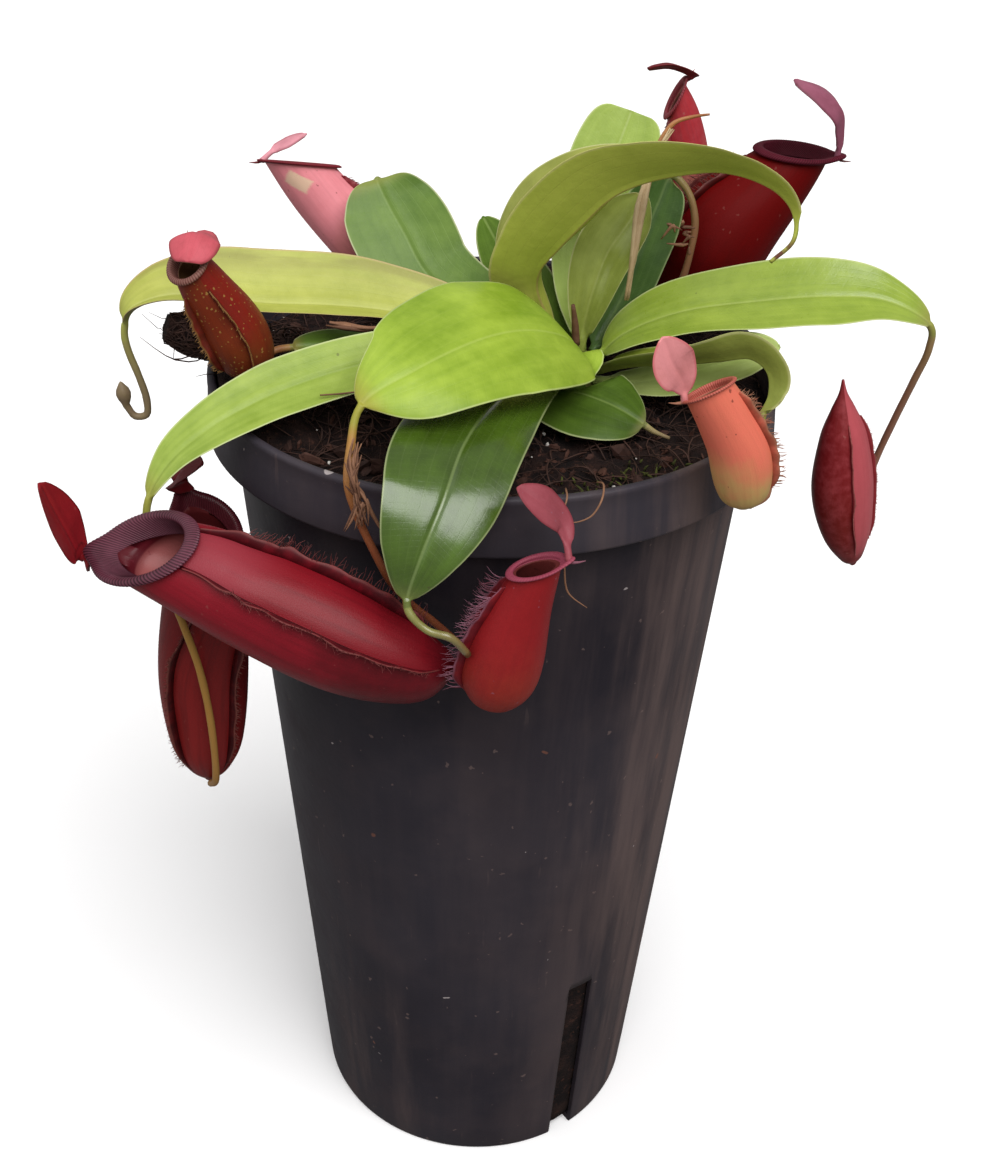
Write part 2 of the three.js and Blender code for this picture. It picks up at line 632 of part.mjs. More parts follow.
// A lid: a small oval plate on a short neck.
function lidGeometry(lid, neck) {
  const curve = new THREE.CatmullRomCurve3([neck, ...lid.rib.map(vec)]);
  const steps = 7;
  const shape = { bend: 0.3, fold: 0 };
  const rings = [];
  for (let i = 0; i <= steps; i += 1) {
    const share = i / steps;
    const tangent = curve.getTangent(share);
    const up = across(vec(lid.face), tangent);
    const side = new THREE.Vector3().crossVectors(tangent, up);
    const radius = THREE.MathUtils.lerp(1.1, 0.6, share);
    const outline = bladeOutline(smooth(share, 0.12, 1) * 0.5 + share * 0.5, 0.8, 0.5);
    const width = Math.max(lid.halfWidth * outline, radius);
    rings.push(leafRing(curve.getPoint(share), side, up, radius, [width, width], shape));
  }
  return skin(rings, true);
}

// The pot: a thin tapered tub with a proud collar, and slots that run in under its base edge.
function potGeometry() {
  const ledge = potHeight - collarHeight;
  const taper = (shoulderRadius - baseRadius) / ledge;
  const inside = (height) => baseRadius + taper * height - potWall;
  const profile = [
    [0, 0], [baseRadius, 0], [shoulderRadius, ledge], [collarRadius, ledge],
    [rimRadius, potHeight], [rimRadius - potWall, potHeight], [rimRadius - potWall, ledge + 3],
    [inside(ledge), ledge - 1.5], [inside(potFloor), potFloor], [0, potFloor]
  ].map(([r, z]) => new THREE.Vector2(r, z));
  let tub = toSolid(new THREE.LatheGeometry(profile, potSides).rotateX(Math.PI / 2));
  for (const bearing of slot.bearings) {
    const length = slot.reach + 20;
    const cutter = new THREE.BoxGeometry(length, slot.width, slot.height * 2);
    cutter.translate(baseRadius - slot.reach + length / 2, 0, 0);
    cutter.rotateZ(radians(bearing));
    tub = tub.subtract(toSolid(cutter));
  }
  return fromSolid(tub);
}

// The height of the mix: low at the front, banked up behind and to the left.
function soilHeight(x, y, random) {
  const bank = 13 * Math.exp(-(((x + 62) / 24) ** 2) - ((y + 10) / 26) ** 2);
  const back = 9 * Math.exp(-(((x - 30) / 34) ** 2) - ((y - 52) / 26) ** 2);
  return soil.level + bank + back + soil.crumb * (random() * 2 - 1);
}

// The mix that fills the pot, with a plain hole for the stem and a chunk of fibre grown into it.
function soilGeometry() {
  const random = numbers(soil.seed);
  const ledge = potHeight - collarHeight;
  const taper = (shoulderRadius - baseRadius) / ledge;
  const room = (height) => baseRadius + taper * height - potWall - gap;
  const bottom = potFloor + gap;
  const topRadius = rimRadius - potWall - gap;
  const sideRings = [
    [room(bottom), bottom], [room(ledge - 1.5), ledge - 1.4], [topRadius, ledge + 3.3]
  ];
  const ring = (radius, height) => {
    const points = [];
    for (let j = 0; j < potSides; j += 1) {
      const angle = (j / potSides) * Math.PI * 2;
      const [x, y] = [radius * Math.cos(angle), radius * Math.sin(angle)];
      points.push(new THREE.Vector3(x, y, height === null ? soilHeight(x, y, random) : height));
    }
    return points;
  };
  const rings = sideRings.map(([radius, height]) => ring(radius, height));
  for (let i = 0; i < soil.rings; i += 1) {
    rings.push(ring(topRadius * (1 - i / soil.rings) * (i ? 1 : 0.995), null));
  }
  let mix = toSolid(poles(rings));
  const chunk = fibreChunk.axis.map(vec);
  const chunkCurve = new THREE.CatmullRomCurve3(chunk);
  const chunkRings = [];
  for (let i = 0; i <= 5; i += 1) {
    const share = i / 5;
    const tangent = chunkCurve.getTangent(share);
    const up = across(new THREE.Vector3(0, 0, 1), tangent);
    const side = new THREE.Vector3().crossVectors(tangent, up);
    const points = [];
    for (let j = 0; j < 10; j += 1) {
      const angle = (j / 10) * Math.PI * 2;
      const radius = fibreChunk.radius * (0.85 + 0.3 * random()) * (i === 5 ? 0.75 : 1);
      points.push(chunkCurve.getPoint(share).addScaledVector(side, radius * Math.cos(angle))
        .addScaledVector(up, radius * Math.sin(angle)));
    }
    chunkRings.push(points);
  }
  mix = mix.add(toSolid(poles(chunkRings)));
  const hole = new THREE.CylinderGeometry(stem.hole, stem.hole, 60, 14).rotateX(Math.PI / 2);
  hole.translate(stem.foot[0], stem.foot[1], stem.foot[2] + 30 - gap);
  return fromSolid(mix.subtract(toSolid(hole)));
}

// The short stem that the leaves stand round.
function stemGeometry() {
  const [foot, top] = [vec(stem.foot), vec(stem.top)];
  const rings = [];
  for (const [share, size] of [[0, 0.8], [0.06, 1], [0.5, 1], [0.96, 1], [1, 0.5]]) {
    const centre = foot.clone().lerp(top, share);
    const points = [];
    for (let j = 0; j < 12; j += 1) {
      const angle = (j / 12) * Math.PI * 2;
      const radius = stem.radius * size;
      points.push(new THREE.Vector3(radius * Math.cos(angle), radius * Math.sin(angle), 0).add(centre));
    }
    rings.push(points);
  }
  return poles(rings);
}

const plant = new THREE.Group();
place('pot', potGeometry(), 'plastic', 0.5);
place('soil', soilGeometry(), 'mix', 0.95);
place('stem', stemGeometry(), 'stem', 0.6);
for (const [name, leaf] of Object.entries(leaves)) {
  place(name, leafGeometry(leaf), leaf.colour, 0.4);
}
for (const [name, pitcher] of Object.entries(pitchers)) {
  place(name, pitcherGeometry(pitcher), pitcher.colour, 0.35);
}

export default plant;
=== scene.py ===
import math
import random

import bpy
import numpy as np
from mathutils import Matrix, Vector, noise


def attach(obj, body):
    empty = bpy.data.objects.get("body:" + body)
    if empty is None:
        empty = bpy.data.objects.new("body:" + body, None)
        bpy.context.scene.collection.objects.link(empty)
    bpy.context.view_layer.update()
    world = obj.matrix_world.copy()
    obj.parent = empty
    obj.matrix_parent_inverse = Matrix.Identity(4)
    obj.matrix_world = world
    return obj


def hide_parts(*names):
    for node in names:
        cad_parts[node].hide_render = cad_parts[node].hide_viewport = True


# A tropical pitcher plant in a tall nursery pot. Sizes are in millimetres with z up, and
# go into the meshes in metres.
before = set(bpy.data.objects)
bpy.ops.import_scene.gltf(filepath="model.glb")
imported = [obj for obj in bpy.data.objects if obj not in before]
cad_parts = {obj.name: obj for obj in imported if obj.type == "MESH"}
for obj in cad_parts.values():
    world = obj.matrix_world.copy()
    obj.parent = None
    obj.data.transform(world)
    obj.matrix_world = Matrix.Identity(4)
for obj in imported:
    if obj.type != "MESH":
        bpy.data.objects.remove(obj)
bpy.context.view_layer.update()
scene = bpy.context.scene
metre = 0.001


# ---- vectors and curves

def vec(*numbers):
    return np.array(numbers, float)


def points(rows):
    return [vec(*p) for p in rows]


def unit(v):
    return v / max(float(np.linalg.norm(v)), 1e-9)


def across(v, direction):  # what is left of v square to the direction
    return unit(v - direction * float(np.dot(v, direction)))


def ease(x, low, high):
    t = np.clip((x - low) / (high - low), 0, 1)
    return t * t * (3 - 2 * t)


def between(a, b, t):
    return a + (b - a) * t


def circle(count):  # bearings at even steps, all the way round
    return np.arange(count) / count * 2 * math.pi


def wobble(x, y, z, scale=1.0, seed=0.0):  # smooth noise from about -1 to 1
    return noise.noise(Vector((x * scale + seed * 7.3, y * scale - seed * 3.1, z * scale + seed)))


def jitter(draw, size):
    return vec(*(draw.gauss(0, size) for _ in range(3)))


def blendList(rows, share):
    place = min(max(share, 0), 1) * (len(rows) - 1)
    low = min(int(place), len(rows) - 2)
    return unit(between(vec(*rows[low]), vec(*rows[low + 1]), place - low))


def routeAt(route, t):  # a point on the smooth curve through the route
    last = len(route) - 1
    place = min(max(t, 0), 1) * last
    i = min(int(place), last - 1)
    w = place - i
    p1, p2 = route[i], route[i + 1]
    p0 = route[i - 1] if i else 2 * route[0] - route[1]
    p3 = route[i + 2] if i + 2 <= last else 2 * route[last] - route[last - 1]
    pairs = ((p0, p1), (p1, p2), (p2, p3))
    d0, d1, d2 = (max(float(np.linalg.norm(b - a)) ** 0.5, 1e-4) for a, b in pairs)
    m1 = ((p1 - p0) / d0 - (p2 - p0) / (d0 + d1) + (p2 - p1) / d1) * d1
    m2 = ((p2 - p1) / d1 - (p3 - p1) / (d1 + d2) + (p3 - p2) / d2) * d1
    return p1 + m1 * w + (3 * (p2 - p1) - 2 * m1 - m2) * w ** 2 + (2 * (p1 - p2) + m1 + m2) * w ** 3


def routeTangent(route, t):
    return unit(routeAt(route, min(t + 1e-4, 1)) - routeAt(route, max(t - 1e-4, 0)))


def routeSteps(route, count=200):  # shares of the length, their curve parameters, and the length
    ts = np.linspace(0, 1, count + 1)
    spots = np.array([routeAt(route, t) for t in ts])
    run = np.concatenate([[0], np.cumsum(np.linalg.norm(np.diff(spots, axis=0), axis=1))])
    return run / run[-1], ts, float(run[-1])


def girthAt(pairs, t):  # share of the axis and radius, along a smooth outline
    last = len(pairs) - 1
    place = min(max(t, 0), 1) * last
    i = min(int(place), last)
    w = place - i
    a, b, c, d = (vec(*pairs[min(max(k, 0), last)]) for k in (i - 1, i, i + 1, i + 2))
    v0, v1 = (c - a) / 2, (d - b) / 2
    return (2 * b - 2 * c + v0 + v1) * w ** 3 + (3 * c - 3 * b - 2 * v0 - v1) * w ** 2 + v0 * w + b


# ---- meshes are gathered as skins: points, faces, the look of each face, and two painted vectors

def newSkin():
    return {"points": [], "faces": [], "looks": [], "spot": [], "trait": []}


def addRows(skin, rows, spots, traits, look=0):  # a closed skin, with a fan over each end
    base, count = len(skin["points"]), len(rows[0])
    around = [(j, (j + 1) % count) for j in range(count)]
    layers = (("points", rows), ("spot", spots), ("trait", traits))
    for key, values in layers:
        for value in values:
            skin[key].extend(map(tuple, value))
    lastRow = base + (len(rows) - 1) * count
    for low in range(base, lastRow, count):
        skin["faces"] += [(low + j, low + n, low + count + n, low + count + j) for j, n in around]
    for row, first, way in ((0, base, -1), (-1, lastRow, 1)):
        middle = len(skin["points"])
        for key, values in layers:
            skin[key].append(tuple(np.mean(values[row], axis=0)))
        skin["faces"] += [(middle, *(first + j, first + n)[::way]) for j, n in around]
    skin["looks"] += [look] * (len(skin["faces"]) - len(skin["looks"]))


def addTube(skin, route, radii, sides, shade, steps=None, look=0):
    # a thin round strand: radii runs along it, and its two shades are painted on all of it
    route = points(route)
    steps = steps or 4 * (len(route) - 1)
    up = across(vec(0.31, 0.2, 0.93), routeTangent(route, 0) + 1e-3)
    rows, spots = [], []
    for t in np.arange(steps + 1) / steps:
        tangent = routeTangent(route, t)
        up = across(up, tangent)
        radius = float(np.interp(t, np.linspace(0, 1, len(radii)), radii))
        turns = circle(sides)
        spokes = np.outer(np.cos(turns), np.cross(tangent, up)) + np.outer(np.sin(turns), up)
        rows.append(routeAt(route, t) + spokes * radius)
        spots.append(np.tile((t, shade[1], 0), (sides, 1)))
    addRows(skin, rows, spots, [np.tile((shade[0], 0, 0), (sides, 1))] * len(rows), look)


def addLump(skin, centre, sizes, seed, roughness, rings=4, sides=6, tilt=None):
    # an irregular crumb or chip
    draw = random.Random(seed)
    ahead = unit(jitter(draw, 1))
    aside = across(jitter(draw, 1), ahead)
    if tilt:
        ahead = unit(vec(*tilt))
        aside = across(aside, ahead)
    axes = np.array([ahead, aside, np.cross(ahead, aside)]) * vec(*sizes)[:, None]
    turns, rows = circle(sides), []
    for lift in math.pi * (np.arange(rings) + 0.5) / rings:
        uneven = vec(*(1 + roughness * draw.uniform(-1, 1) for _ in turns))
        wide = math.sin(lift)
        ring = np.stack([np.full(sides, math.cos(lift)), wide * np.cos(turns), wide * np.sin(turns)], axis=1)
        rows.append(ring * uneven[:, None] @ axes + centre)
    flat = np.tile((draw.random(), draw.random(), 0), (sides, 1))
    addRows(skin, rows, [flat] * rings, [flat] * rings)


def makePiece(name, skin, looks, nodes=(), smooth=True):
    mesh = bpy.data.meshes.new(name)
    mesh.from_pydata((np.array(skin["points"]) * metre).tolist(), [], skin["faces"])
    for key in ("spot", "trait"):
        layer = mesh.attributes.new(key, "FLOAT_VECTOR", "POINT")
        layer.data.foreach_set("vector", np.array(skin[key], np.float32).ravel())
    mesh.polygons.foreach_set("material_index", np.array(skin["looks"], np.int32))
    mesh.polygons.foreach_set("use_smooth", np.full(len(mesh.polygons), smooth))
    for look in looks:
        mesh.materials.append(look)
    mesh.validate()
    mesh.update()
    piece = addObject(name, mesh)
    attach(piece, "root")
    if nodes:
        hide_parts(*nodes)
    return piece


def addObject(name, data):
    made = bpy.data.objects.new(name, data)
    scene.collection.objects.link(made)
    return made


# ---- shader helpers, which all work on the node tree that lies on the bench

bench = {"tree": None}


class Field:  # a node's output that varies over the surface, so that sums with it read as sums
    def __init__(self, socket):
        self.socket = socket

    def __add__(self, other):
        return calc("ADD", self, other)

    def __sub__(self, other):
        return calc("SUBTRACT", self, other)

    def __mul__(self, other):
        return calc("MULTIPLY", self, other)

    def __truediv__(self, other):
        return calc("DIVIDE", self, other)

    def __abs__(self):
        return calc("ABSOLUTE", self)


def tone(code, strength=0.8):  # a colour written as on a paint chart, made linear
    parts = [int(code[i:i + 2], 16) / 255 for i in (0, 2, 4)]
    linear = [c / 12.92 if c <= 0.04045 else ((c + 0.055) / 1.055) ** 2.4 for c in parts]
    return tuple(strength * c for c in linear) + (1,)


def join(value, socket):
    if isinstance(value, Field):
        bench["tree"].links.new(value.socket, socket)
    else:
        socket.default_value = tone(value) if isinstance(value, str) else value


def addNode(kind, inputs=None, **settings):
    made = bench["tree"].nodes.new("ShaderNode" + kind)
    for key, value in settings.items():
        setattr(made, key, value)
    for key, value in (inputs or {}).items():
        join(value, made.inputs[key])
    return made


def field(kind, inputs=None, out=0, **settings):
    return Field(addNode(kind, inputs, **settings).outputs[out])


def calc(operation, *values, clamp=False):
    return field("Math", dict(enumerate(values)), operation=operation, use_clamp=clamp)


def spread(value, low, high, toLow=0.0, toHigh=1.0):
    inputs = {"Value": value, "From Min": low, "From Max": high, "To Min": toLow, "To Max": toHigh}
    return field("MapRange", inputs, interpolation_type="SMOOTHSTEP")


def mixTone(factor, a, b):
    return field("Mix", {0: factor, 6: a, 7: b}, 2, data_type="RGBA")


def layered(base, *coats):  # each coat is a mask and the colour that it lays over the ones before
    for mask, colour in coats:
        base = mixTone(mask, base, colour)
    return base


def noiseAt(place, scale, detail, out="Fac", **more):
    inputs = {"Vector": place, "Scale": scale, "Detail": detail, **more}
    return field("TexNoise", inputs, out, noise_dimensions="4D" if "W" in more else "3D")


def painted(name):  # the three painted numbers of a mesh
    source = field("Attribute", out="Vector", attribute_name=name)
    return [Field(part) for part in addNode("SeparateXYZ", {0: source}).outputs]


def newGroup(name, inputs, outputs):
    tree = bench["tree"] = bpy.data.node_groups.new(name, "ShaderNodeTree")
    for label, value in inputs.items():
        socket = tree.interface.new_socket(name=label, in_out="INPUT", socket_type="NodeSocketFloat")
        socket.default_value = value
    for label in outputs:
        tree.interface.new_socket(name=label, in_out="OUTPUT", socket_type="NodeSocketFloat")
    given = tree.nodes.new("NodeGroupInput").outputs
    return tree, [Field(given[label]) for label in inputs], tree.nodes.new("NodeGroupOutput").inputs


def useGroup(group, *values):  # values in the order of the group's inputs
    made = addNode("Group", dict(enumerate(values)), node_tree=group)
    return [Field(socket) for socket in made.outputs]


def startLook(name, roughness=0.5, coat=0.0, coatRoughness=0.2, specular=0.5):
    look = bpy.data.materials.new(name)
    look.use_nodes = True
    bench["tree"] = look.node_tree
    into = look.node_tree.nodes["Principled BSDF"].inputs
    into["Roughness"].default_value = roughness
    into["Coat Weight"].default_value = coat
    into["Coat Roughness"].default_value = coatRoughness
    into["Specular IOR Level"].default_value = specular
    return look, into


def addBump(into, height, strength, distance):
    bump = field("Bump", {"Height": height, "Strength": strength, "Distance": distance * metre})
    join(bump, into["Normal"])


# soft patches of two kinds over a surface
patches, (scale, low, high, seed), puts = newGroup(
    "softPatches", {"Scale": 60.0, "Low": 0.4, "High": 0.6, "Seed": 0.0}, ("Mask", "Fine"))
place = field("TexCoord", out="Object")
join(spread(noiseAt(place, scale, 4.0, W=seed, Roughness=0.6), low, high), puts["Mask"])
join(noiseAt(place, scale * 9.0, 3.0, W=seed), puts["Fine"])

# small scattered dots, with uneven sizes and ragged edges
specks, (scale, size, amount), puts = newGroup(
    "scatteredSpecks", {"Scale": 400.0, "Size": 0.2, "Amount": 0.5}, ("Mask",))
place = field("TexCoord", out="Object")
ragged = noiseAt(place, scale * 1.6, 2.0, "Color")
shift = field("VectorMath", {0: ragged, 1: (0.5, 0.5, 0.5)}, operation="SUBTRACT")
pulled = field("VectorMath", {0: shift, "Scale": calc("DIVIDE", 0.9, scale)}, operation="SCALE")
place = field("VectorMath", {0: place, 1: pulled}, operation="ADD")
cells = addNode("TexVoronoi", {"Vector": place, "Scale": scale}).outputs
dice = addNode("SeparateXYZ", {0: Field(cells["Color"])}).outputs
dot = spread(Field(cells["Distance"]) / (size * (Field(dice[1]) + 0.35)), 0.7, 1.1, 1.0, 0.0)
join(dot * calc("LESS_THAN", Field(dice[0]), amount), puts["Mask"])

# the lines of a strap leaf: long veins beside the rib, and faint ones across
leafLines, (along, cross, length, seed), puts = newGroup(
    "leafLines", {"Along": 0.0, "Cross": 0.0, "Length": 80.0, "Seed": 0.0}, ("Veins", "Streaks", "Height"))
run, sweep = along * length, abs(cross)
longVein = spread(abs(calc("FRACT", sweep * 4.6) - 0.5), 0.0, 0.07, 1.0, 0.0)
crossVein = spread(abs(calc("FRACT", run * 0.55 + sweep * -3.2) - 0.5), 0.0, 0.1, 1.0, 0.0)
veins = calc("MAXIMUM", longVein * 0.8, crossVein * 0.45)
streaks = noiseAt(field("CombineXYZ", {0: cross * 5.0, 1: run * 0.035, 2: seed}), 1.0, 4.0)
join(veins, puts["Veins"])
join(streaks, puts["Streaks"])
join(veins * -0.6 + streaks, puts["Height"])
print("stage: shader groups built")


# ---- camera, floor and light

view = {
    "place": (0, -393, 442), "pitch": 0.575, "yaw": 0.003, "roll": 0.028, "lens": 49.02, "sensor": 36,
    "near": 0.01, "floorReach": 12.0, "floor": "fbfafa", "floorBounce": "8c8a89", "skyStrength": 0.3,
    "suns": [("key", (0.3, -0.62, 1.0), 50, 2.9), ("fill", (-0.8, -0.2, 0.9), 90, 1.0)],
}


def addCamera():
    p, y, r = view["pitch"], view["yaw"], view["roll"]
    forward = vec(math.sin(y) * math.cos(p), math.cos(y) * math.cos(p), -math.sin(p))
    level = unit(np.cross(forward, [0, 0, 1]))
    upright = np.cross(level, forward)
    camera = addObject("camera", bpy.data.cameras.new("camera"))
    camera.data.lens = view["lens"]
    camera.data.sensor_width = view["sensor"]
    camera.data.clip_start = view["near"]
    matrix = np.eye(4)
    matrix[:3, 0] = level * math.cos(r) + upright * math.sin(r)
    matrix[:3, 1] = -level * math.sin(r) + upright * math.cos(r)
    matrix[:3, 2] = -forward
    matrix[:3, 3] = vec(*view["place"]) * metre
    camera.matrix_world = Matrix(matrix.tolist())
    scene.camera = camera


def addStage():
    mesh = bpy.data.meshes.new("floor")
    signs = ((-1, -1), (1, -1), (1, 1), (-1, 1))
    corners = [(x * view["floorReach"], y * view["floorReach"], 0) for x, y in signs]
    mesh.from_pydata(corners, [], [(0, 1, 2, 3)])
    look, into = startLook("floorPaint", roughness=0.9, specular=0.1)
    # the floor throws back less light than the camera sees, as a far studio floor does
    seen = field("LightPath", out="Is Camera Ray")
    join(mixTone(seen, view["floorBounce"], tone(view["floor"], 1)), into["Base Color"])
    mesh.materials.append(look)
    addObject("floor", mesh)
    world = scene.world = bpy.data.worlds.new("sky")
    world.use_nodes = True
    tree = bench["tree"] = world.node_tree
    sky = tree.nodes["Background"]
    sky.inputs["Color"].default_value = (1, 1, 1, 1)
    sky.inputs["Strength"].default_value = view["skyStrength"]
    behind = field("Background", {"Color": tone(view["floor"], 1), "Strength": 1.0})
    seen = field("LightPath", out="Is Camera Ray")
    mixed = field("MixShader", {0: seen, 1: Field(sky.outputs[0]), 2: behind})
    join(mixed, tree.nodes["World Output"].inputs["Surface"])
    for name, way, width, power in view["suns"]:
        lamp = addObject(name, bpy.data.lights.new(name, "SUN"))
        lamp.data.angle = math.radians(width)
        lamp.data.energy = power
        lamp.rotation_euler = Vector(way).to_track_quat("Z", "Y").to_euler()
    scene.view_settings.view_transform = "Standard"


addCamera()
addStage()
print("stage: camera, floor and light")


# ---- pot

pot = {
    "height": 260, "rim": 75, "collar": 76.4, "collarHeight": 15.5, "shoulder": 69.7, "base": 51,
    "wall": 1.6, "floor": 2.4, "sides": 224, "unevenness": 0.22,
    "slotWidth": 8.5, "slotHeight": 73, "slotReach": 9, "slotBearings": (-55.5, 124.5),
    # bleachedAndLitTone is the plastic's own paler tone in the haze patches, and painted light on the collar
    # band
    "plastic": "28242c", "bleachedAndLitTone": "423e46", "dust": "8c7670", "chip": "c9bebd", "rust": "8a5a48",
}
ledge = pot["height"] - pot["collarHeight"]
taper = (pot["shoulder"] - pot["base"]) / ledge


def potLook():
    look, into = startLook("potPlastic", specular=0.14)
    place = field("TexCoord", out="Object")
    right, _, up = (Field(part) for part in addNode("SeparateXYZ", {0: place}).outputs)
    height = up / (pot["height"] * metre)
    haze = useGroup(patches, 9.0, 0.35, 0.7, 3.0)[0]
    film, grain = useGroup(patches, 38.0, 0.42, 0.72, 8.0)
    # dust has run down the side in soft streaks, most of all at the right and at the lower left
    runs = field("Mapping", {"Vector": place, "Scale": (52, 52, 3.2)})
    streaks = noiseAt(runs, 1.0, 5.0, Roughness=0.62)
    lowLeft = spread(right, 0.0, -0.04) * spread(height, 0.45, 0.05)
    amount = calc("MAXIMUM", spread(right, 0.012, 0.056, 0.12, 1.1), lowLeft * 0.8)
    dusty = spread(streaks, 0.4, 0.68) * amount
    # thin drawn scratches that run mostly down the side
    drawn = field("Mapping", {"Vector": place, "Rotation": (0.12, 0.2, 0.0), "Scale": (420, 420, 16)})
    scratched = spread(noiseAt(drawn, 1.0, 2.0), 0.69, 0.73) * film
    # the haze patches are the plastic's own paler tone; the band from the ledge up to the rim gets the same
    # tone as painted light, standing in for the collar catching light while the body under it lies in shade
    join(layered(
        pot["plastic"], (haze * 0.5, pot["bleachedAndLitTone"]), (spread(height, 0.938, 0.945) * 0.75, pot["bleachedAndLitTone"]),
        (dusty * 0.52, pot["dust"]), (film * 0.07, pot["dust"]), (scratched * 0.25, pot["dust"]),
        (useGroup(specks, 330.0, 0.16, 0.2)[0] * 0.4, pot["dust"]),
        (useGroup(specks, 95.0, 0.06, 0.3)[0] * 0.75, pot["chip"]),
        (useGroup(specks, 60.0, 0.07, 0.22)[0] * 0.6, pot["rust"])), into["Base Color"])
    join(film * 0.16 + 0.4 + dusty * 0.25, into["Roughness"])
    addBump(into, grain + scratched * -0.6, 0.25, 0.3)
    return look


def buildPot():
    r, h, w, base, collar = pot["rim"], pot["height"], pot["wall"], pot["base"], pot["collar"]
    profile = [(0.01, 0.6), (base - 7, 0.6), (base - 6.2, 0)]
    profile += [(base - 1.2, 0), (base - 0.35, 0.35), (base, 1.3)]
    profile += [(base + taper * z, z) for z in np.linspace(12, ledge - 4, 26)]
    profile += [(pot["shoulder"] - 0.1, ledge - 0.9), (pot["shoulder"] + 0.5, ledge - 0.1)]
    profile += [(collar - 0.6, ledge)]
    profile += [(collar - 0.1, ledge + 0.25), (collar, ledge + 0.8)]
    profile += [(between(collar, r + 0.5, t), between(ledge + 0.8, h - 2, t)) for t in (0.25, 0.5, 0.75, 1)]
    profile += [(r + 0.65, h - 1.5), (r + 0.6, h - 0.7), (r + 0.25, h - 0.15), (r - 0.4, h), (r - w + 0.5, h)]
    profile += [(r - w + 0.05, h - 0.4), (r - w, h - 1), (r - w, h - 5), (r - w, ledge + 3)]
    profile += [(pot["shoulder"] - w, ledge - 1.5)]
    profile += [(base + taper * pot["floor"] - w, pot["floor"]), (0.01, pot["floor"])]
    turns, rows = circle(pot["sides"]), []
    for radius, height in profile:
        # thin plastic is never quite round
        uneven = pot["unevenness"] * np.sin(2 * turns + 0.6) * (height / h) * (radius > 5)
        out = radius + uneven
        rows.append(np.stack([out * np.cos(turns), out * np.sin(turns), np.full(len(turns), height)], axis=1))
    skin = newSkin()
    blank = [np.zeros((len(turns), 3))] * len(rows)
    addRows(skin, rows, blank, blank)
    piece = makePiece("pot_tub", skin, [potLook()], ["pot"])
    for bearing in pot["slotBearings"]:
        cutSlot(piece, math.radians(bearing))


def cutSlot(piece, a):
    out, side = vec(math.cos(a), math.sin(a)), vec(-math.sin(a), math.cos(a))
    near, far, half = pot["base"] - pot["slotReach"], pot["base"] + 20, pot["slotWidth"] / 2
    corners = []
    for z in (-5, pot["slotHeight"]):
        for reach, sign in ((near, -1), (far, -1), (far, 1), (near, 1)):
            corners.append(tuple((out * reach + side * sign * half) * metre) + (z * metre,))
    cutter = bpy.data.meshes.new("slotCutter")
    sides = [(0, 1, 5, 4), (1, 2, 6, 5), (2, 3, 7, 6), (3, 0, 4, 7)]
    cutter.from_pydata(corners, [], [(3, 2, 1, 0), (4, 5, 6, 7)] + sides)
    block = addObject("slotCutter", cutter)
    cut = piece.modifiers.new("slot", "BOOLEAN")
    cut.object, cut.operation, cut.solver = block, "DIFFERENCE", "EXACT"
    graph = bpy.context.evaluated_depsgraph_get()
    finished = bpy.data.meshes.new_from_object(piece.evaluated_get(graph))
    piece.modifiers.clear()
    piece.data = finished
    bpy.data.objects.remove(block)


buildPot()
print("stage: pot")


# ---- mix, with what lies on it

mix = {
    "level": 253, "turns": 210, "rings": 64, "wallRings": 70, "reach": 72, "seed": 21,
    "bank": (13, -62, -10, 24, 26), "backBank": (9, 30, 52, 34, 26),  # height, place, and spread in x and y
    "stemFoot": (23, -2), "dark": "150d0d", "brown": "33211c", "bark": "6a4436",
    "chunk": [[-57, -7, 262], [-70, -10, 268], [-84, -14, 273]], "chunkRadius": 5.6, "chunkSides": 36,
    "chips": 520, "fibres": 900, "chunkFibres": 420, "beads": 110,
    "moss": ((22, -62, 24), (34, -56, 26), (46, -48, 16), (28, 60, 14), (-30, 58, 14)),
}


def mixHeight(x, y):
    height = mix["level"]
    for rise, cx, cy, wide, deep in (mix["bank"], mix["backBank"]):
        height += rise * math.exp(-(((x - cx) / wide) ** 2) - ((y - cy) / deep) ** 2)
    return height


def mixLook(name, dark, light, pale, scale=160.0):
    look, into = startLook(name, roughness=0.95, specular=0.2)
    clods, fine = useGroup(patches, scale, 0.35, 0.68, 1.0)
    shreds = useGroup(patches, scale * 3, 0.55, 0.7, 5.0)[0]
    bits = useGroup(specks, 420.0, 0.2, 0.16)[0]
    wet = painted("spot")[0]
    join(layered(dark, (clods, light), (shreds * 0.5, pale), (bits * 0.7, pale), (wet * 0.45, dark)),
         into["Base Color"])
    addBump(into, fine + clods * 0.6, 0.9, 1.0)
    return look


def barkLook(name, dark, light, rough=0.8):
    look, into = startLook(name, roughness=rough, specular=0.3)
    grain = noiseAt(field("TexCoord", out="Object"), 500.0, 4.0)
    join(mixTone(painted("spot")[1] * 0.6 + grain * 0.5, dark, light), into["Base Color"])
    addBump(into, grain, 0.5, 0.4)
    return look


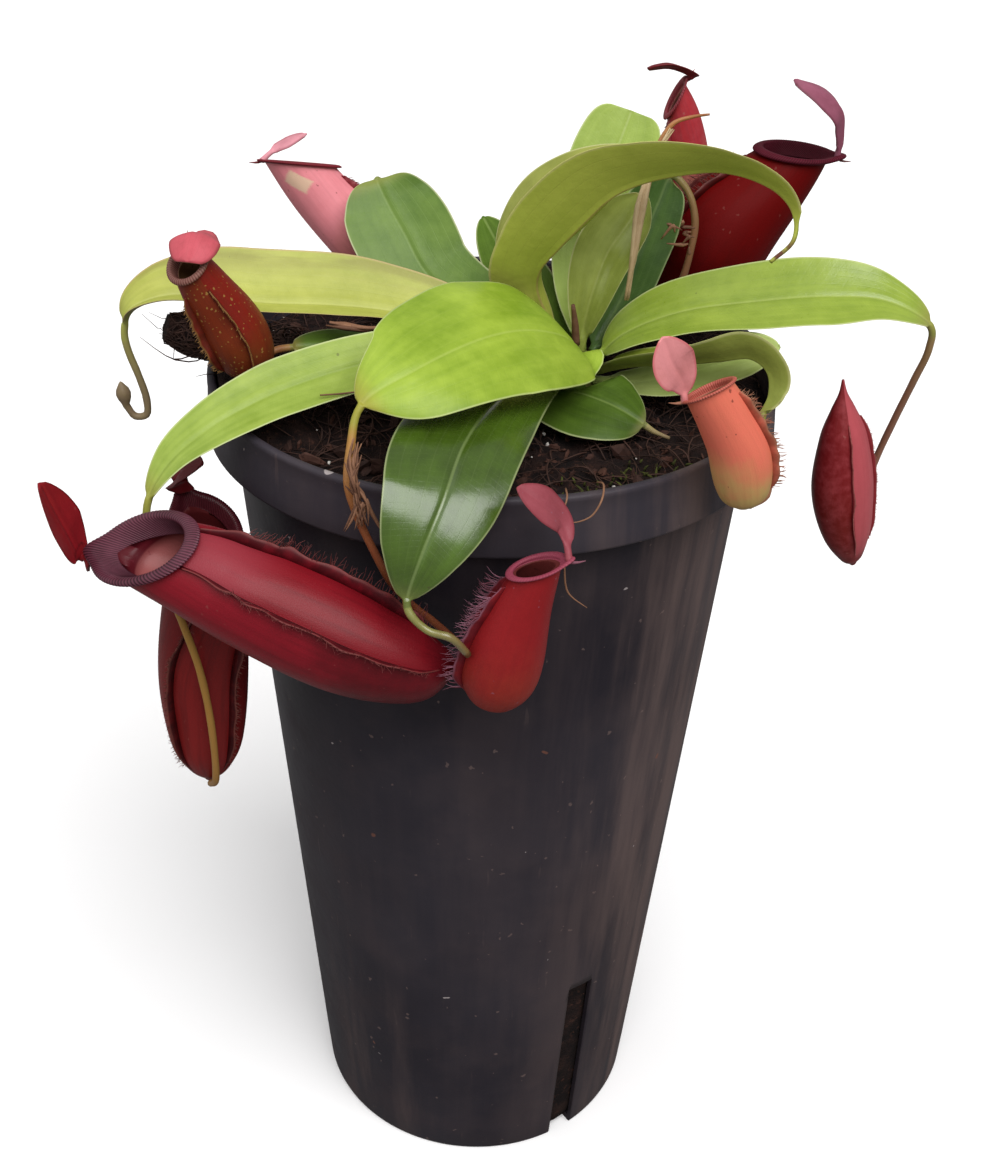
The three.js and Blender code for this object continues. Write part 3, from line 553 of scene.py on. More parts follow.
def buildMix():
    wall, top, foot = pot["wall"], pot["rim"] - pot["wall"] - 0.35, mix["stemFoot"]
    rings = [(8, pot["floor"] + 0.4)]
    for z in np.linspace(pot["floor"] + 0.5, ledge - 2, mix["wallRings"]):
        rings.append((pot["base"] + taper * z - wall - 0.5, z))
    rings += [(top, ledge + 3.4)]
    rings += [(top * (1 - i / mix["rings"]) + 0.02, None) for i in range(mix["rings"])]
    rows = []
    for radius, height in rings:
        row = []
        for a in circle(mix["turns"]):
            x, y, z = radius * math.cos(a), radius * math.sin(a), height
            if height is None:  # the open surface, with clods and a hollow at the stem's foot
                clod = 1.6 * wobble(x, y, 0, 0.13, 2) + 1.5 * abs(wobble(x, y, 0, 0.35, 5))
                clod += 0.8 * wobble(x, y, 0, 0.9, 9)
                hollow = 3 * (1 - ease(math.hypot(x - foot[0], y - foot[1]), 3.5, 8))
                z = mixHeight(x, y) + clod * ease(top + 3 - radius, 0, 10) - hollow
            else:
                dent = 0.9 * max(wobble(x, y, z, 0.22, 4), 0) + 0.35 * abs(wobble(x, y, z, 0.8, 6))
                x, y = x * (1 - dent / 50), y * (1 - dent / 50)
            row.append((x, y, z))
        rows.append(np.array(row))
    skin = newSkin()
    wet = [np.array([(0.5 + 0.5 * wobble(*p, 0.05, 3), 0, 0) for p in row]) for row in rows]
    addRows(skin, rows, wet, wet)
    # the chunk of coir at the left, a rough lump with frayed ends
    route, turns, chunk = points(mix["chunk"]), circle(mix["chunkSides"]), []
    for t in np.arange(25) / 24:
        tangent = routeTangent(route, t)
        up = across(vec(0, 0, 1), tangent)
        side = np.cross(tangent, up)
        rough = vec(*(0.95 + 0.22 * wobble(t * 30, 9 * math.cos(a), 9 * math.sin(a), 0.35, 8) for a in turns))
        rough *= mix["chunkRadius"] * (1 - 0.35 * ease(t, 0.75, 1))
        ring = np.outer(rough * np.cos(turns), side) + np.outer(rough * np.sin(turns), up)
        chunk.append(routeAt(route, t) + ring)
    flat = [np.full((len(turns), 3), 0.2)] * len(chunk)
    addRows(skin, chunk, flat, flat, look=1)
    looks = [mixLook("pottingMix", mix["dark"], mix["brown"], mix["bark"])]
    looks.append(mixLook("coirChunk", "150c0c", "38231d", "5a3a30", 260.0))
    makePiece("mix_body", skin, looks, ["soil"])


def onMix(draw, high):
    radius = math.sqrt(draw.uniform(0, high ** 2))
    a = draw.uniform(0, 2 * math.pi)
    x, y = radius * math.cos(a), radius * math.sin(a)
    return x, y, mixHeight(x, y)


def buildChips(draw):
    chips = newSkin()
    for i in range(mix["chips"]):
        x, y, z = onMix(draw, 70)
        size = draw.uniform(0.6, 2.3) if i % 12 else draw.uniform(2.4, 4.2)
        centre = vec(x, y, z + draw.uniform(0, 1.4))
        sizes = (size, size * draw.uniform(0.4, 0.7), size * draw.uniform(0.2, 0.4))
        addLump(chips, centre, sizes, draw.random(), 0.28)
    # the reddish chip of bark at the front left
    addLump(chips, vec(-42.5, -56, 258.6), (3.4, 1.6, 0.9), 5, 0.2, 5, 8, (0.9, -0.35, -0.15))
    makePiece("mix_chips", chips, [barkLook("barkChips", "1c100e", "5a382c")], smooth=False)


def buildFibres(draw):
    fibres = newSkin()
    for i in range(mix["fibres"]):
        x, y, _ = onMix(draw, 71)
        a, length = draw.uniform(0, 2 * math.pi), draw.uniform(5, 22)
        rise = draw.uniform(0.6, 3.2)
        dx, dy = math.cos(a) * length, math.sin(a) * length
        bend = draw.uniform(-0.3, 0.3)
        route = []
        for t in (0, 0.33, 0.66, 1):
            aside = bend * math.sin(t * 3)
            px, py = x + dx * (t - 0.5) - dy * aside, y + dy * (t - 0.5) + dx * aside
            inside = min(1, mix["reach"] / max(math.hypot(px, py), 1e-6))
            px, py = px * inside, py * inside
            lift = rise * math.sin(t * math.pi) + draw.uniform(-0.6, 1.1)
            route.append((px, py, mixHeight(px, py) + lift))
        radius = draw.choice((0.09, 0.12, 0.16, 0.24))
        addTube(fibres, route, (radius, radius, radius * 0.5), 4, (draw.random(), draw.random()), 6)
    # on the chunk most strands lie along it, matted, and a few stand off its end
    chunk = points(mix["chunk"])
    for i in range(mix["chunkFibres"]):
        t, turn = draw.uniform(0, 0.8), draw.uniform(0, 2 * math.pi)
        route = []
        for k in range(4):
            near = min(t + k * draw.uniform(0.05, 0.12), 1)
            along = routeTangent(chunk, near)
            up = across(vec(0, 0, 1), along)
            size = mix["chunkRadius"] * (1.02 - 0.35 * float(ease(near, 0.75, 1))) + draw.uniform(0, 0.5)
            size += 0 if i % 28 else k * 1.3
            a = turn + 0.35 * k * draw.uniform(-1, 1)
            route.append(routeAt(chunk, near) + (np.cross(along, up) * math.cos(a) + up * math.sin(a)) * size)
        if i % 14 == 0:
            away = unit(vec(-0.9, draw.gauss(-0.1, 0.5), draw.gauss(0.25, 0.6)))
            route.append(route[-1] + away * draw.uniform(3, 8))
        addTube(fibres, route, (0.17, 0.2, 0.06), 4, (draw.random(), draw.random()), 6)
    makePiece("mix_fibres", fibres, [barkLook("coirFibre", "1a0f0c", "54382e", 0.75)])


def buildPerlite(draw):
    beads = newSkin()
    for i in range(mix["beads"]):
        x, y, z = onMix(draw, 70)
        size = draw.uniform(0.2, 0.6)
        centre = vec(x, y, z + draw.uniform(0.6, 1.8))
        addLump(beads, centre, (size, size * 0.85, size * 0.8), draw.random(), 0.25)
    makePiece("mix_perlite", beads, [barkLook("perlite", "a9a19b", "efe9e2", 0.9)])


def buildMoss(draw):
    moss = newSkin()
    for cx, cy, count in mix["moss"]:
        for i in range(count):
            x, y = cx + draw.gauss(0, 6), cy + draw.gauss(0, 4)
            if math.hypot(x, y) > mix["reach"] - 1:
                continue
            foot = vec(x, y, mixHeight(x, y) + 0.8)
            lean = vec(draw.gauss(0, 1.1), draw.gauss(0, 1.1), draw.uniform(0.8, 2.2))
            route = [foot, foot + lean * vec(0.4, 0.4, 0.6), foot + lean]
            addTube(moss, route, (0.3, 0.42, 0.08), 4, (draw.random(), draw.random()), 3)
    makePiece("mix_moss", moss, [barkLook("moss", "26280e", "565a22", 0.85)])


buildMix()
litterDraw = random.Random(mix["seed"])
for build in (buildChips, buildFibres, buildPerlite, buildMoss):
    build(litterDraw)
print("stage: mix and litter")


# ---- leaves

leafForm = {
    "stalk": 1.3, "tendril": 0.95, "point": 0.5, "rib": 1.0, "edge": 0.42, "rows": 84, "step": 1.3,
    "ripple": 0.7, "columns": (0, 0.03, 0.07, 0.12, 0.2, 0.3, 0.42, 0.55, 0.68, 0.8, 0.89, 0.95, 0.985, 1),
    "bud": ((0.15, 0.62), (0.3, 0.85), (0.5, 1), (0.68, 0.86), (0.84, 0.5), (0.95, 0.25), (1, 0.08)),
}
stemForm = {"top": (23, -2, 264), "foot": (23, -2, 236), "radius": 4, "gap": 0.3, "rows": 34, "sides": 40}
# root is a bearing and height on the stem, rib the points of the midrib, face what the upper side
# looks at along it, and base and tip how full the outline is at its ends
usualLeaf = dict(
    base=0.7, tip=0.6, bend=0.2, fold=0.1, tendril=[], taper=1, wave=1, gloss=0.4, coat=0.04,
    specular=0.26, marginShow=0.6, ribShow=0.35, slot="leaf_lime")
leaves = {
    "leaf_front_left": dict(
        root=[-90, 262.7], rib=[[20, -14, 272], [10, -26, 280], [-2, -40, 284], [-18, -57, 283],
        [-30, -64, 277]], face=[[-0.2, -0.5, 0.8], [-0.1, -0.6, 0.8], [-0.2, -0.6, 0.75]],
        halfWidths=[19, 22], base=0.8, tip=0.75, bend=-0.35, fold=0.08, tendril=[[-32, -69, 269.5],
        [-32.5, -74, 263], [-30.5, -76, 256], [-26.5, -77, 246.5], [-22.5, -76, 237], [-18, -73.5, 229.5],
        [-12, -71.5, 222.5], [-5, -74, 216.5], [-6.2, -81.5, 217.5]], light="bad44e", deep="7a9a20",
        under="b4c06c", margin="e3e9ad", ribTone="c0d270", strand=("b98a46", "9a4834", "802c26"),
        marginShow=0.45),
    "leaf_front_hanging": dict(
        root=[-114, 259.2], rib=[[9, -26, 266], [0, -48, 270], [-6.5, -68, 269], [-10.5, -83, 263],
        [-15, -90, 253], [-18, -92, 242]], face=[[0, -0.2, 1], [0, -0.3, 1], [0.05, -0.9, 0.4],
        [0, -1, 0.2]], halfWidths=[14, 16], base=0.9, tip=0.9, bend=-0.25, fold=0.14, wave=1.8,
        tendril=[[-17, -93, 239.5], [-13, -94, 236], [-8, -95, 235], [-3.9, -92.7, 228.8]], light="587720",
        deep="33470f", under="8c9c58", margin="d3dba0", ribTone="9db070",
        strand=("939650", "8a8448", "7f6443"), gloss=0.24, coat=0.95, marginShow=0.4, slot="leaf_green"),
    "leaf_small_front": dict(
        root=[-82, 256], rib=[[19.5, -16, 259], [24, -24.5, 262], [31, -29.5, 261.5], [38.5, -32, 258]],
        face=[[0.2, -0.2, 1], [0.1, -0.4, 0.9], [0.2, -0.45, 0.85]], halfWidths=[12, 14.5], base=0.6,
        fold=0.05, bend=-0.2, tendril=[[41, -32.5, 256.5], [45, -34, 255.5]], taper=0.45, light="62802c",
        deep="3b5216", under="8c9c58", margin="cdd69a", ribTone="93a860",
        strand=("a8a06a", "a08a60", "8a7258"), coat=0.1, specular=0.12, slot="leaf_green"),
    "leaf_right_long": dict(
        root=[-8, 263], rib=[[34, -4, 270], [48, -5, 277], [68, -8, 282], [85, -11, 285], [99, -13, 285],
        [111, -14, 279]], face=[[-0.4, -0.3, 0.8], [-0.2, -0.35, 0.9], [0.1, -0.5, 0.85], [0.5, -0.4, 0.8]],
        halfWidths=[11.5, 11.5], base=0.8, tip=0.7, bend=0.25, tendril=[[112, -13, 272.5],
        [110.5, -10, 262], [108.5, -6, 249], [106, -3.3, 235], [103.5, -4, 222], [102.5, -7, 212],
        [101.6, -12, 207.6]], light="b0c64c", deep="7c962a", under="a9b862", margin="dfe5a6",
        ribTone="c2d07a", strand=("a88a58", "a06a5a", "8f5048"), gloss=0.3, specular=0.4, coat=0.2),
    "leaf_right_curved": dict(
        root=[-40, 260], rib=[[35, -13, 266], [46, -24, 272], [56, -31, 276.5], [63, -35, 279],
        [67, -39, 277], [67.5, -42, 272], [65.5, -45, 268]], face=[[-0.4, 0.2, 0.8], [-0.3, 0.5, 0.8],
        [0.5, 0.5, 0.7], [0.9, 0.2, 0.2]], halfWidths=[6.6, 6.6], base=0.6, bend=0.6, fold=0.3,
        tendril=[[65, -49, 263.5], [66.5, -55, 259], [66, -60, 254.5], [61.5, -63.7, 253.7]],
        light="98a63e", deep="667222", under="a4ae50", margin="cfcf8e", ribTone="9a9a50",
        strand=("8f7f48", "a0604a", "a86a4e"), gloss=0.36, slot="leaf_olive"),
    "leaf_over_arching": dict(
        root=[200, 263.4], rib=[[14.5, 1, 271], [10.5, 1, 280], [11, -2, 287], [15, -5, 293.5],
        [21, -9, 302], [28, -12, 310.5], [35, -13, 314.5], [45, -13, 317], [53.5, -12, 317.5],
        [61.5, -12, 316], [69, -13, 312.5], [73, -14, 307.5], [73, -16, 301.5], [67.5, -19, 297]],
        face=[[-0.3, 0.8, 0.2], [-0.7, 0.6, 0.4], [-0.4, 0.8, 0.5], [-0.1, 0.5, 0.8], [0.1, 0.3, 0.9],
        [0.6, 0.3, 0.5], [0.9, 0.2, 0.2]], halfWidths=[6.5, 15], base=1.15, tip=2, bend=0.3, fold=0.3,
        light="b4c04a", deep="8c9830", under="ccd45c", margin="ddd591", ribTone="b49a5c", tipTone="6a3a26",
        tipStart=0.9, ribShow=0.75, slot="leaf_olive"),
    "leaf_back_arching": dict(
        root=[135, 263], rib=[[9, 12, 274], [6, 19, 286], [13, 24, 297], [27, 26, 304], [44, 26, 307]],
        face=[[-0.6, 0.6, 0.5], [-0.8, -0.2, 0.5], [-0.5, -0.4, 0.8], [0, -0.4, 0.9]], halfWidths=[10, 10],
        tendril=[[47, 31, 305], [45.5, 38, 300], [46.5, 43, 292], [49, 46, 286], [51.6, 48, 283.9]],
        light="aeb455", deep="7e8533", under="a5ab55", margin="dcdca0", ribTone="b9bf70",
        strand=("a8804c", "a85a48", "a04a44")),
    "leaf_back_round": dict(
        root=[82, 262.5], rib=[[24, 24, 275], [29, 40, 293], [36.5, 50, 313]], face=[[0, -0.4, 1],
        [-0.1, -0.8, 0.6], [-0.1, -0.9, 0.4]], halfWidths=[12, 12], tip=0.22, light="c2da6c", deep="98b24a",
        under="b0c06a", margin="e2e9b0", ribTone="c6d48a", gloss=0.42, tipTone="c99a8e", tipStart=0.99),
    "leaf_back_left": dict(
        root=[122, 259], rib=[[4, 14, 264], [-7, 22, 266], [-19, 30, 271.5], [-26, 38, 280.5],
        [-31, 44, 287], [-34, 48, 292]], face=[[-0.3, -0.5, 0.8], [-0.1, -0.6, 0.7], [0, -0.8, 0.6]],
        halfWidths=[15, 14], tip=0.4, fold=0.05, tendril=[[-33, 53, 289], [-31, 53, 282], [-27, 48, 274],
        [-24, 48, 264], [-28.7, 52.4, 257.2]], light="7f9c48", deep="4f6f29", under="8ea25a",
        margin="e6e6b8", ribTone="90a85e", strand=("a8a058", "b07a58", "b86a58"), gloss=0.36, coat=0.12,
        specular=0.14, slot="leaf_green"),
    "leaf_back_narrow": dict(
        root=[100, 256.5], rib=[[12, 24, 267], [4, 38, 272], [-4, 54, 280]], face=[[0, -0.4, 1],
        [-0.1, -0.7, 0.7], [0, -0.8, 0.6]], halfWidths=[8, 8], bend=0.3, light="789a38", deep="527020",
        under="9aac60", margin="e0e5ae", ribTone="a8bd70", specular=0.1),
    "leaf_left_yellow": dict(
        root=[168, 260.5], rib=[[-4, -1, 269], [-28, -2, 274], [-43, -4, 276], [-60, -6, 277],
        [-74, -8, 279.5], [-86, -10, 279.5], [-93.5, -11, 276], [-95.5, -11, 270]], face=[[0, -0.3, 1],
        [0.1, -0.3, 1], [-0.2, -0.3, 1], [-0.9, -0.2, 0.3]], halfWidths=[9, 14], base=0.85, tip=1.1,
        bend=0.3, fold=0.35, tendril=[[-95, -11, 265], [-93, -11, 258], [-91.5, -11, 251],
        [-92, -11, 246.5], [-95, -11, 246], [-97, -11, 249]], budEnd=[-98, -11, 256], budRadius=2,
        light="d3d76c", deep="a7ae47", under="b9bd68", margin="d8b98a", ribTone="dcdf94",
        strand=("a9a05c", "8f7a60", "80685a"), gloss=0.42, upperTone="8f8a3e"),
    "leaf_left_low": dict(
        root=[208, 259], rib=[[-3, -13, 266.5], [-19, -20, 270], [-33, -27, 270], [-49, -36, 268],
        [-58, -42, 266], [-68, -48, 262], [-77, -54, 256], [-82.5, -58, 247]], face=[[0.1, -0.6, 0.8],
        [0, -0.6, 0.8], [-0.3, -0.6, 0.7], [-0.6, -0.5, 0.5]], halfWidths=[8.5, 8.5], base=0.6, fold=0.12,
        tendril=[[-83, -58.5, 238], [-80, -60.5, 227], [-76, -62, 214], [-73, -62.5, 201.5],
        [-71.5, -62.5, 189], [-71, -62, 175], [-72, -59, 161], [-74.5, -53.6, 155.5]], light="bcd262",
        deep="88a238", under="acbc68", margin="e4ebb4", ribTone="a2b85c",
        strand=("b09048", "b8863f", "b07c40")),
    "leaf_left_small": dict(
        root=[186, 256.3], rib=[[-4, -6, 260.5], [-24, -8, 264], [-40, -10, 267], [-52, -13, 268]],
        face=[[0.1, -0.3, 1], [0, -0.4, 0.9], [-0.1, -0.5, 0.8]], halfWidths=[7, 7], tip=0.5, bend=-0.2,
        fold=0.05, tendril=[[-56, -15, 268], [-60.6, -19.3, 266.6]], light="6f8c36", deep="46611d",
        under="8c9c58", margin="ccd69a", ribTone="93a860", strand=("a8804c", "8f5a38", "6e3a26"),
        gloss=0.34, slot="leaf_green"),
    "leaf_young_rolled": dict(
        rib=[[23, -2, 264.45], [25, -1, 278], [29, 2, 290], [35, 5, 299], [38, 7, 305]],
        face=[[-0.2, -0.9, 0.2], [-0.3, -0.9, 0.3], [-0.4, -0.8, 0.4]], halfWidths=[9, 9], base=1, tip=0.8,
        bend=0.9, fold=0.2, tendril=[[40, 10, 314], [44, 12, 321], [49, 12, 323], [53, 11, 324]], taper=0.3,
        light="b0bc60", deep="7c882e", under="989e46", margin="d6d69c", ribTone="aab060",
        strand=("b08850", "c07a44", "a85f34"), gloss=0.3, coat=0.5, specular=0.35, slot="leaf_olive"),
    "leaf_behind_rolled": dict(
        root=[45, 262.5], rib=[[34, 8.5, 275], [38.5, 13, 288], [42.5, 16, 299], [45.5, 16.5, 306]],
        face=[[-0.3, -0.7, 0.6], [-0.3, -0.8, 0.5], [-0.3, -0.8, 0.4]], halfWidths=[9, 9], base=0.6,
        tip=0.5, bend=0.3, tendril=[[49.5, 15, 303], [52, 12, 296], [51, 9, 287], [49, 8, 278],
        [48, 11, 269], [48.8, 18.7, 264]], light="658442", deep="3c5a28", under="768c4e", margin="b9c48c",
        ribTone="8fa46a", strand=("8a7a48", "8a5a40", "7a4a38"), gloss=0.36, coat=0.15, specular=0.16,
        slot="leaf_green"),
    "leaf_right_low": dict(
        root=[-20, 256.5], rib=[[41, -13, 261], [53, -18, 267], [65, -21, 273], [72, -22, 276]],
        face=[[0, -0.4, 1], [-0.1, -0.6, 0.8], [-0.1, -0.6, 0.8]], halfWidths=[7, 7], light="c8d884",
        deep="96aa4c", under="b4c270", margin="dce3a6", ribTone="b9c97a"),
}


def bladeOutline(share, base, tip):
    widest = base / (base + tip)
    return (share / widest) ** base * ((1 - share) / (1 - widest)) ** tip


def leafRing(centre, way, up, radius, widths, shape, share, strand, seed):
    # one ring of a blade, that turns into a round strand where the blade is narrow
    half = np.array(leafForm["columns"])
    top = np.concatenate([-half[::-1], half[1:]])
    v = np.concatenate([top, top[::-1]])
    count, left, out = len(v), v < 0, np.abs(v)
    isTop = np.arange(count) < len(top)
    flatness = float(ease((widths[0] + widths[1]) / 2 / radius, 1.2, 2.6))
    reach = np.where(left, max(widths[0], radius), max(widths[1], radius))
    if flatness:
        reach = reach * np.where(left, *(1 + 0.015 * wobble(share * 6, s * 3, 0, 1, seed) for s in (-1, 1)))
    bend = shape["bend"]
    x = reach * np.sin(bend * v) / bend
    lift = reach * (1 - np.cos(bend * v)) / bend + out * reach * shape["fold"]
    if flatness:
        ripple = np.where(left, *(wobble(share * 7, s * 5, 1, 1, seed) for s in (-1, 1)))
        lift = lift + leafForm["ripple"] * shape["wave"] * out ** 2.5 * (reach / 12) * ripple
    fromRib = out * reach
    thick = between(leafForm["rib"], leafForm["edge"], out) / 2 * np.sqrt(1 - 0.94 * v ** 8)
    keel = 0.75 * (1 - 0.7 * share) * np.exp(-(fromRib / 0.8) ** 2)
    groove = -0.2 * np.exp(-(fromRib / 0.6) ** 2) + 0.1 * np.exp(-((fromRib - 1.4) / 0.6) ** 2)
    z = lift * flatness + np.where(isTop, thick + groove, -thick - keel)
    turn = math.pi * (1 - (np.arange(count) + 0.5) / len(top))
    x = between(radius * np.cos(turn), x, flatness)
    z = between(radius * np.sin(turn), z, flatness)
    spot = np.stack([np.full(count, share), v, isTop.astype(float)], axis=1)
    away = [between(9, fromRib, flatness), between(9, (1 - out) * reach, flatness)]
    row = centre + np.outer(x, np.cross(way, up)) + np.outer(z, up)
    return row, spot, np.stack([np.full(count, strand), *away], axis=1)


def leafRoute(leaf):
    rib = points(leaf["rib"])
    if "root" in leaf:  # the stalk stands off the stem by the gap and its own thickness
        bearing, height = math.radians(leaf["root"][0]), leaf["root"][1]
        middle = vec(*stemForm["top"][:2], height)
        rise = abs(unit(rib[0] - middle)[2])
        off = stemForm["radius"] + stemForm["gap"] + leafForm["stalk"] * rise
        rib.insert(0, middle + vec(math.cos(bearing), math.sin(bearing), 0) * off)
    return rib, points(leaf["tendril"])


def buildLeaf(name, leaf, seed):
    rib, tail = leafRoute(leaf)
    route = rib + tail
    bladeEnd = (len(rib) - 1) / (len(route) - 1)
    rows, up = [], None

    def add(t, radius, widths, face, share, strand):
        nonlocal up
        tangent = routeTangent(route, t)
        up = across(up if face is None else face, tangent)
        rows.append(leafRing(routeAt(route, t), tangent, up, radius, widths, leaf, share, strand, seed))

    count = leafForm["rows"]
    for i in range(count + 1):
        share = 0.35 * (i / count) + 0.65 * (0.5 - 0.5 * math.cos(math.pi * i / count))
        outline = bladeOutline(share, leaf["base"], leaf["tip"])
        radius = between(leafForm["stalk"], leafForm["tendril"] if tail else leafForm["point"], share)
        widths = [max(w * outline, radius) for w in leaf["halfWidths"]]
        add(share * bladeEnd, radius, widths, blendList(leaf["face"], share), share, 0)
    if tail:
        steps = max(6, round(routeSteps(rib[-1:] + tail)[2] / leafForm["step"]))
        for strand in np.arange(1, steps + 1) / steps:
            size = leafForm["tendril"] * (1 + 0.1 * wobble(strand * 12, 0, 0, 1, seed))
            size *= between(1, leaf["taper"], strand)
            add(bladeEnd + (1 - bladeEnd) * strand, size, [0, 0], None, 1, strand)
    if "budEnd" in leaf:
        start, end = route[-1], vec(*leaf["budEnd"])
        way = unit(end - start)
        up = across(up, way)
        for share, size in leafForm["bud"]:
            size *= leaf["budRadius"]
            rows.append(leafRing(between(start, end, share), way, up, size, [0, 0], leaf, 1, 1, seed))
    skin = newSkin()
    addRows(skin, *zip(*rows))
    makePiece(name + "_blade", skin, [leafLook(name, leaf, routeSteps(rib)[2], seed)], [name])


def leafLook(name, s, length, seed):
    look, into = startLook(name + "Skin", s["gloss"], s["coat"], 0.25, s["specular"])
    (along, cross, upper), (strand, fromRib, fromMargin) = painted("spot"), painted("trait")
    veins, streaks, relief = useGroup(leafLines, along, cross, length, seed)
    cloud, fine = useGroup(patches, 42.0, 0.32, 0.7, seed)
    mottle, grain = useGroup(patches, 150.0, 0.3, 0.7, seed + 5)
    share = calc("SUBTRACT", streaks * 0.75 + cloud * 0.4 + mottle * 0.25, 0.22, clamp=True)
    base = mixTone(share, s["deep"], s["light"])
    if "upperTone" in s:
        base = mixTone(spread(cross, 0.35, 1.0) * spread(streaks, 0.3, 0.6) * 0.7, base, s["upperTone"])
    base = mixTone(upper, mixTone(share * 0.5, s["under"], s["deep"]), base)
    base = layered(
        base, (veins * 0.07, s["ribTone"]),
        (spread(fromRib, 0.08, 0.55, 1.0, 0.0) * s["ribShow"], s["ribTone"]),
        (spread(fromMargin, 0.15, 0.6, 1.0, 0.0) * s["marginShow"], s["margin"]))
    if "tipTone" in s:
        start = s["tipStart"]
        base = mixTone(spread(along, start, start + 0.06) * spread(fine, 0.3, 0.55), base, s["tipTone"])
    base = mixTone(useGroup(specks, 230.0, 0.13, 0.05)[0] * 0.5, base, "4a3f22")
    if s["tendril"]:
        first, middle, last = s["strand"]
        string = layered(first, (spread(strand, 0.0, 0.45), middle), (spread(strand, 0.45, 1.0), last),
                         (fine * 0.4, first))
        near = spread(along, 0.9, 1.0) * 0.45
        base = mixTone(calc("MAXIMUM", near, spread(strand, 0.0, 0.1)), base, string)
    join(base, into["Base Color"])
    join(grain * 0.22 + (s["gloss"] - 0.1) + calc("SUBTRACT", 1.0, upper) * 0.2, into["Roughness"])
    addBump(into, relief * 0.35 + fine * 0.8 + mottle * 0.5, 0.4, 0.35)
    return look


def buildStem():
    foot, top, turns = vec(*stemForm["foot"]), vec(*stemForm["top"]), circle(stemForm["sides"])
    rows, spots = [], []
    for i in range(stemForm["rows"]):
        t = i / (stemForm["rows"] - 1)
        size = stemForm["radius"] * (0.8 + 0.2 * ease(t, 0, 0.06)) * (1 - 0.5 * ease(t, 0.94, 1))
        size += 0.35 * max(0, math.sin(t * 30)) ** 6  # the scars of old leaves
        ring = np.stack([size * np.cos(turns), size * np.sin(turns), 0 * turns], axis=1)
        rows.append(between(foot, top, t) + ring)
        spots.append(np.tile((t, 0.5, 0), (len(turns), 1)))
    skin = newSkin()
    addRows(skin, rows, spots, spots)
    makePiece("stem_body", skin, [barkLook("stemSkin", "4a4a20", "8a8f44", 0.6)], ["stem"])


for number, (name, leaf) in enumerate(leaves.items()):
    buildLeaf(name, {**usualLeaf, **leaf}, 1.0 + number * 1.7)
buildStem()
print("stage: leaves and stem")


# ---- pitchers

cupForm = {
    "rows": 62, "bodyEnd": 0.985, "wingRows": 90, "hairGap": 0.7, "lidRows": 41, "lidRipple": 0.35,
    "wingOutline": (
        (-1, -0.5, 0), (0.5, -0.26, 0.5), (1, -0.1, 1), (1, 0.1, 1), (0.5, 0.26, 0.5), (-1, 0.5, 0)),
    "wingRoot": -0.5, "rollBearings": (-85, 165, 15), "bandSteps": (0.12, 0.3, 0.5, 0.7, 0.85, 0.96, 1),
}
